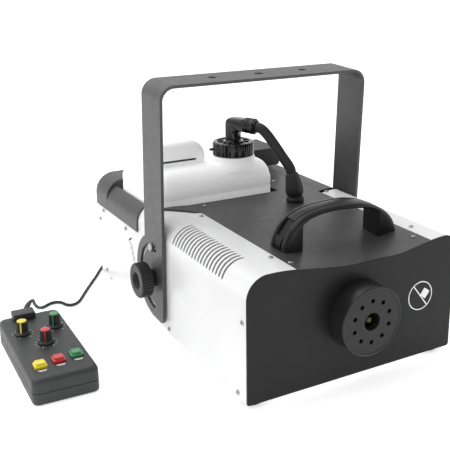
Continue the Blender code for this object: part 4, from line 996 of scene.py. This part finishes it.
for nm, kx, ky, mm, sl, ang in KNOBS:
    cutters.append(prism("k", circle(kx, ky, 3.6, 28), "z", REM_H - 7, REM_H + 5))
for nm, bx, by, mm, sl in BTNS:
    cutters.append(prism("k", rect(bx - 7.9, bx + 7.9, by - 7.9, by + 7.9, 1.0, 3), "z", REM_H - 7, REM_H + 5))
for c in cutters:
    boolean(rlid, [c])
dress(rlid, M_GREY, "root", ("remote_lid",), edge=0.25, segments=2, angle=50)

for nm, kx, ky, mm, sl, ang in KNOBS:
    # black fluted body on a round skirt, coloured insert and pointer line
    loops = []
    for r, h, d in ((3.0, 22.0, 0.0), (3.0, REM_H + 0.5, 0.0), (9.2, REM_H + 0.5, 0.0), (9.8, REM_H + 0.9, 0.0), (9.8, REM_H + 1.9, 0.0), (9.3, REM_H + 2.5, 0.0), (8.0, REM_H + 3.0, 0.1), (7.4, REM_H + 3.8, 0.45), (6.8, REM_H + 15.6, 0.45), (6.6, REM_H + 16.8, 0.3), (6.0, REM_H + 17.6, 0.0), (5.2, REM_H + 17.8, 0.0)):
        loops.append([(kx + rr * math.cos(t), ky + rr * math.sin(t), h) for t, rr in lobes(r, d, 24, 192, 0.5)])
    kb = rings(nm + "_body", loops, angle=40)
    dress(kb, M_PLASTIC, nm, (nm,))
    top = turned(nm + "_insert", "z", (kx, ky, 0.0), [(5.8, REM_H + 17.4), (6.0, REM_H + 17.8), (5.9, REM_H + 18.2), (5.4, REM_H + 18.5)], n=40)
    a = math.radians(ang + 40)
    px, py = kx + 7.1 * math.cos(a), ky + 7.1 * math.sin(a)
    tx, ty = -math.sin(a), math.cos(a)
    cx, cy = math.cos(a), math.sin(a)
    q = []
    for (w, rr, z) in ((-0.8, 7.9, REM_H + 3.6), (0.8, 7.9, REM_H + 3.6), (0.8, 6.6, REM_H + 3.6), (-0.8, 6.6, REM_H + 3.6)):
        q.append((kx + cx * rr + tx * w, ky + cy * rr + ty * w, z))
    q2 = []
    for (w, rr, z) in ((-0.8, 7.0, REM_H + 17.4), (0.8, 7.0, REM_H + 17.4), (0.8, 5.8, REM_H + 17.4), (-0.8, 5.8, REM_H + 17.4)):
        q2.append((kx + cx * rr + tx * w, ky + cy * rr + ty * w, z))
    line = rings("k", [q, q2])
    col = joined(nm + "_mark", [top, line])
    dress(col, mm, nm, edge=0.15, segments=2, angle=40)

for nm, bx, by, mm, sl in BTNS:
    loops = []
    for ins, z in ((0.0, 22.0), (0.0, REM_H + 2.6), (0.4, REM_H + 3.1), (1.5, REM_H + 3.2), (1.7, REM_H + 3.4), (1.8, REM_H + 5.2), (2.1, REM_H + 5.8), (2.7, REM_H + 6.0), (3.6, REM_H + 5.9), (5.0, REM_H + 5.7)):
        loops.append(rr_loop(bx - 7.5 + ins, bx + 7.5 - ins, by - 7.5 + ins, by + 7.5 - ins, max(1.8 - ins * 0.2, 0.8), z, 5))
    bt = rings(nm + "_cap", loops, angle=35)
    dress(bt, mm, nm, (nm,))

# white scale marks round the knobs and plain bars by the buttons, on the lid
marks = []
for nm, kx, ky, mm, sl, ang in KNOBS:
    for i in range(11):
        a = math.radians(-60 + 300.0 * i / 10 + 0)
        a = math.radians(-60.0 + 30.0 * i)
        r0, r1 = 12.2, 13.8 if i % 5 else 14.6
        c, s = math.cos(a), math.sin(a)
        w = 0.28
        q = [(kx + c * r0 - s * w, ky + s * r0 + c * w), (kx + c * r0 + s * w, ky + s * r0 - c * w), (kx + c * r1 + s * w, ky + s * r1 - c * w), (kx + c * r1 - s * w, ky + s * r1 + c * w)]
        marks.append(prism("k", q, "z", REM_H + 0.01, REM_H + 0.10))
for nm, bx, by, mm, sl in BTNS:
    for dy, hw in ((-11.4, 5.6), (-13.6, 4.0)):
        marks.append(prism("k", rect(bx - hw, bx + hw, by + dy - 0.55, by + dy + 0.55, 0.3, 2), "z", REM_H + 0.01, REM_H + 0.10))
mk = joined("remote_scale_marks", marks)
dress(mk, M_PRINT, "root")
MOVE[0] = None

# ================================================================ screws
def screw_mesh():
    """Pan head with a cross recess, axis +Z, under the head at Z = 0, in mm."""
    n = 24
    prof = [(3.1, 0.0), (3.15, 0.5), (2.95, 1.0), (2.5, 1.45), (1.8, 1.75), (1.2, 1.85)]
    verts, faces = [], []
    for r, h in prof:
        for i in range(n):
            t = 2 * math.pi * i / n
            verts.append((r * math.cos(t), r * math.sin(t), h))
    for i in range(len(prof) - 1):
        for j in range(n):
            k = (j + 1) % n
            faces.append((i * n + j, i * n + k, (i + 1) * n + k, (i + 1) * n + j))
    faces.append(tuple(reversed(range(n))))
    faces.append(tuple((len(prof) - 1) * n + j for j in range(n)))
    me = bpy.data.meshes.new("k_screw")
    me.from_pydata([(x / 1000, y / 1000, z / 1000) for x, y, z in verts], [], faces)
    ob = bpy.data.objects.new("k_screw", me)
    scene.collection.objects.link(ob)
    cutters = []
    for w, l in ((0.42, 2.0), (2.0, 0.42)):
        cm = bpy.data.meshes.new("k")
        v = [(sx * w / 1000, sy * l / 1000, z / 1000) for z in (0.9, 3.0) for sx, sy in ((-1, -1), (1, -1), (1, 1), (-1, 1))]
        f = [(3, 2, 1, 0), (4, 5, 6, 7), (0, 1, 5, 4), (1, 2, 6, 5), (2, 3, 7, 6), (3, 0, 4, 7)]
        cm.from_pydata(v, [], f)
        c = bpy.data.objects.new("k", cm)
        scene.collection.objects.link(c)
        cutters.append(c)
    for c in cutters:
        boolean(ob, [c])
    return ob


_screw = screw_mesh()
SCREW = _screw.data.copy()
bpy.data.objects.remove(_screw, do_unlink=True)


def screws(name, places, scale=1.0, m=None):
    """places: (x, y, z, normal) in machine mm."""
    bm = bmesh.new()
    for k, (x, y, z, nrm) in enumerate(places):
        q = Vector(nrm).normalized().to_track_quat("Z", "Y").to_matrix().to_4x4()
        spin = Matrix.Rotation(0.5 + 1.3 * k, 4, "Z")
        tr = Matrix.Translation(put((x, y, z))) @ q @ spin @ Matrix.Scale(scale, 4)
        tmp = SCREW.copy()
        tmp.transform(tr)
        bm.from_mesh(tmp)
        bpy.data.meshes.remove(tmp)
    me = bpy.data.meshes.new(name)
    bm.to_mesh(me)
    bm.free()
    me.shade_smooth()
    me.set_sharp_from_angle(angle=math.radians(35))
    ob = bpy.data.objects.new(name, me)
    scene.collection.objects.link(ob)
    dress(ob, m or M_SCREW, "root")
    return ob


def top_normal(x):
    e = 1.0
    return Vector((-(top_z(x + e) - top_z(x - e)) / (2 * e), 0.0, 1.0)).normalized()


place = []
for y, z in ((454.5, 106.0), (475.4 - 4, 88.7), (362.8, 103.9), (451.9, 9.2)):
    place.append((-147.0, y, up(z), (-1, 0, 0)))
    place.append((147.0, y, up(z), (1, 0, 0)))
for y, z in ((11.7, 98.6), (22.5, 7.5), (212.0, 7.5)):
    place.append((-149.4, y, up(z), (-1, 0, 0)))
    place.append((149.4, y, up(z), (1, 0, 0)))
for x, y in ((-91.0, 48.0), (-78.0, 26.0), (122.0, 52.0), (104.0, 27.0), (121.0, 240.0), (84.0, 330.0), (-92.0, 226.0)):
    zz = up(faded_z(x, y) - 0.6)
    nn = top_normal(x)
    place.append((x, y, zz, tuple(nn)))
place.append((-66.0, 267.0, up(faded_z(-66.0, 267.0) - 0.6), (0, 0, 1)))
screws("case_screws", place)

rear_places = []
for x in (-138.0, 0.0, 138.0):
    for z in (6.0, 116.0):
        rear_places.append((x, 478.0, up(z), (0, 1, 0)))
screws("rear_screws", rear_places)
fit = []
for dx in (-17.6, 17.6):
    fit.append((105.0 + dx, RP + 7.0, up(35.0), (0, 1, 0)))
for cx in (-60.0, -24.0):
    for dx, dz in ((-10.4, 12.8), (10.4, -12.8)):
        fit.append((cx + dx, RP + 4.0, up(35.5 + dz), (0, 1, 0)))
screws("socket_screws", fit, 0.55)

# ================================================================ rear panel details
pins = []
for dx, dz in ((-7.0, -2.0), (0.0, 3.0), (7.0, -2.0)):
    pins.append(block("k", 105 + dx - 1.0, 105 + dx + 1.0, RP + 1.6, RP + 6.0, up(35.0 + dz - 2.4), up(35.0 + dz + 2.4), r=0.5, axis="y", n=3))
pin = joined("mains_pins", pins)
dress(pin, M_STEEL, "root", edge=0.2)
dp = []
for cx in (-60.0, -24.0):
    for a in (90, 210, 330):
        t = math.radians(a)
        dp.append(turned("k", "y", (cx + 5.0 * math.cos(t), 0.0, up(35.5) + 5.0 * math.sin(t)), [(1.3, RP + 1.1), (1.3, RP + 3.2), (0.8, RP + 3.6)], n=16))
d = joined("control_pins", dp)
dress(d, M_BRASS, "root")
lens = block("display_lens", -63.6, -16.4, RP + 1.3, RP + 2.6, up(70.4), up(91.6), r=1.0, axis="y", n=4)
dress(lens, M_LENS, "root", edge=0.3)

# ================================================================ CAD nodes that stay: material, welded and eased edges
STAY = {
    "base_tray": (M_WHITE, 0.4), "rear_panel": (M_BLACK, 0.3), "tank_well": (M_BLACK, 0.5), "receiver_housing": (M_PLASTIC, 1.2),
    "foot_front_left": (M_RUBBER, 0.5), "foot_front_right": (M_RUBBER, 0.5), "foot_rear_left": (M_RUBBER, 0.5), "foot_rear_right": (M_RUBBER, 0.5),
    "nozzle_tip": (M_BURNT, 0.3), "heater_block": (M_ALU, 1.0), "heater_stand": (M_STEEL, 0.4), "pump_body": (M_STEEL, 0.8), "feed_tube": (M_BRASS, 0.0),
    "power_relay": (M_PLASTIC, 0.6), "control_board": (M_BOARD, 0.1), "yoke_bush_left": (M_STEEL, 0.2), "yoke_bush_right": (M_STEEL, 0.2),
    "guide_screw_left": (M_SCREW, 0.3), "guide_screw_right": (M_SCREW, 0.3), "switch_frame": (M_PLASTIC, 0.4), "power_rocker": (M_RED, 0.6),
    "mains_inlet": (M_PLASTIC, 0.4), "fuse_cap": (M_PLASTIC, 0.4), "dmx_in": (M_STEEL, 0.4), "dmx_out": (M_STEEL, 0.4), "display_panel": (M_PLASTIC, 0.4),
    "menu_button_1": (M_RUBBER, 0.3), "menu_button_2": (M_RUBBER, 0.3), "menu_button_3": (M_RUBBER, 0.3), "menu_button_4": (M_RUBBER, 0.3), "remote_socket": (M_STEEL, 0.4),
}
for nm, (mm, e) in STAY.items():
    ob = NODES[nm]
    ob.data.materials.clear()
    ob.data.materials.append(mm)
    w = ob.modifiers.new("weld", "WELD")
    w.merge_threshold = 0.00001
    if e:
        b = bevel(ob, e, 2, 40.0).modifiers["edge"]
        b.harden_normals = False

# ================================================================ stage and light
def stage_plane(name, pts, m):
    me = bpy.data.meshes.new(name)
    me.from_pydata(pts, [], [tuple(range(len(pts)))])
    ob = bpy.data.objects.new(name, me)
    scene.collection.objects.link(ob)
    me.materials.append(m)
    return ob


fm = bpy.data.materials.new("studio_floor")
fm.use_nodes = True
fp = fm.node_tree.nodes["Principled BSDF"]
fp.inputs["Base Color"].default_value = (0.93, 0.93, 0.93, 1.0)
fp.inputs["Roughness"].default_value = 0.9
fp.inputs["Specular IOR Level"].default_value = 0.1
fp.inputs["Emission Color"].default_value = (1.0, 1.0, 1.0, 1.0)
fp.inputs["Emission Strength"].default_value = 0.50
stage_plane("floor", [(-9, -9, -0.0005), (9, -9, -0.0005), (9, 9, -0.0005), (-9, 9, -0.0005)], fm)

world = bpy.data.worlds.new("studio")
scene.world = world
world.use_nodes = True
wn, wl = world.node_tree.nodes, world.node_tree.links
wb = wn["Background"]
wb.inputs["Color"].default_value = (1.0, 1.0, 1.0, 1.0)
wb.inputs["Strength"].default_value = 1.0
wd = wn.new("ShaderNodeBackground")
wd.inputs["Color"].default_value = (1.0, 1.0, 1.0, 1.0)
wg = wn.new("ShaderNodeTexCoord")
wv = wn.new("ShaderNodeVectorMath")
wv.operation = "DOT_PRODUCT"
wv.inputs[1].default_value = (0.10, 0.97, 0.22)
wl.new(wg.outputs["Generated"], wv.inputs[0])
wr = wn.new("ShaderNodeMapRange")
wr.inputs["From Min"].default_value = -0.9
wr.inputs["From Max"].default_value = 0.9
wr.inputs["To Min"].default_value = 0.16
wr.inputs["To Max"].default_value = 1.15
wl.new(wv.outputs["Value"], wr.inputs["Value"])
wl.new(wr.outputs["Result"], wd.inputs["Strength"])
wp = wn.new("ShaderNodeLightPath")
wm = wn.new("ShaderNodeMixShader")
wl.new(wp.outputs["Is Camera Ray"], wm.inputs["Fac"])
wl.new(wd.outputs["Background"], wm.inputs[1])
wl.new(wb.outputs["Background"], wm.inputs[2])
wl.new(wm.outputs["Shader"], wn["World Output"].inputs["Surface"])


def area(name, loc, target, size, size_y, power):
    ld = bpy.data.lights.new(name, "AREA")
    ld.shape = "RECTANGLE"
    ld.size, ld.size_y = size, size_y
    ld.energy = power
    ob = bpy.data.objects.new(name, ld)
    scene.collection.objects.link(ob)
    ob.location = loc
    d = Vector(target) - Vector(loc)
    ob.rotation_mode = "QUATERNION"
    ob.rotation_quaternion = d.to_track_quat("-Z", "Y")
    return ob


area("key_top", (-0.7, 0.9, 2.2), (0.08, 0.0, 0.1), 2.2, 2.2, 26.0)
area("side_left", (-2.2, 0.7, 1.1), (0.0, 0.0, 0.15), 1.4, 1.2, 5.0)
area("front_high", (-1.0, -1.5, 2.0), (0.0, 0.0, 0.2), 1.2, 1.2, 13.0)
area("front_right", (1.9, -0.9, 0.7), (0.1, -0.2, 0.1), 1.0, 1.0, 4.0)

scene.view_settings.view_transform = "Standard"
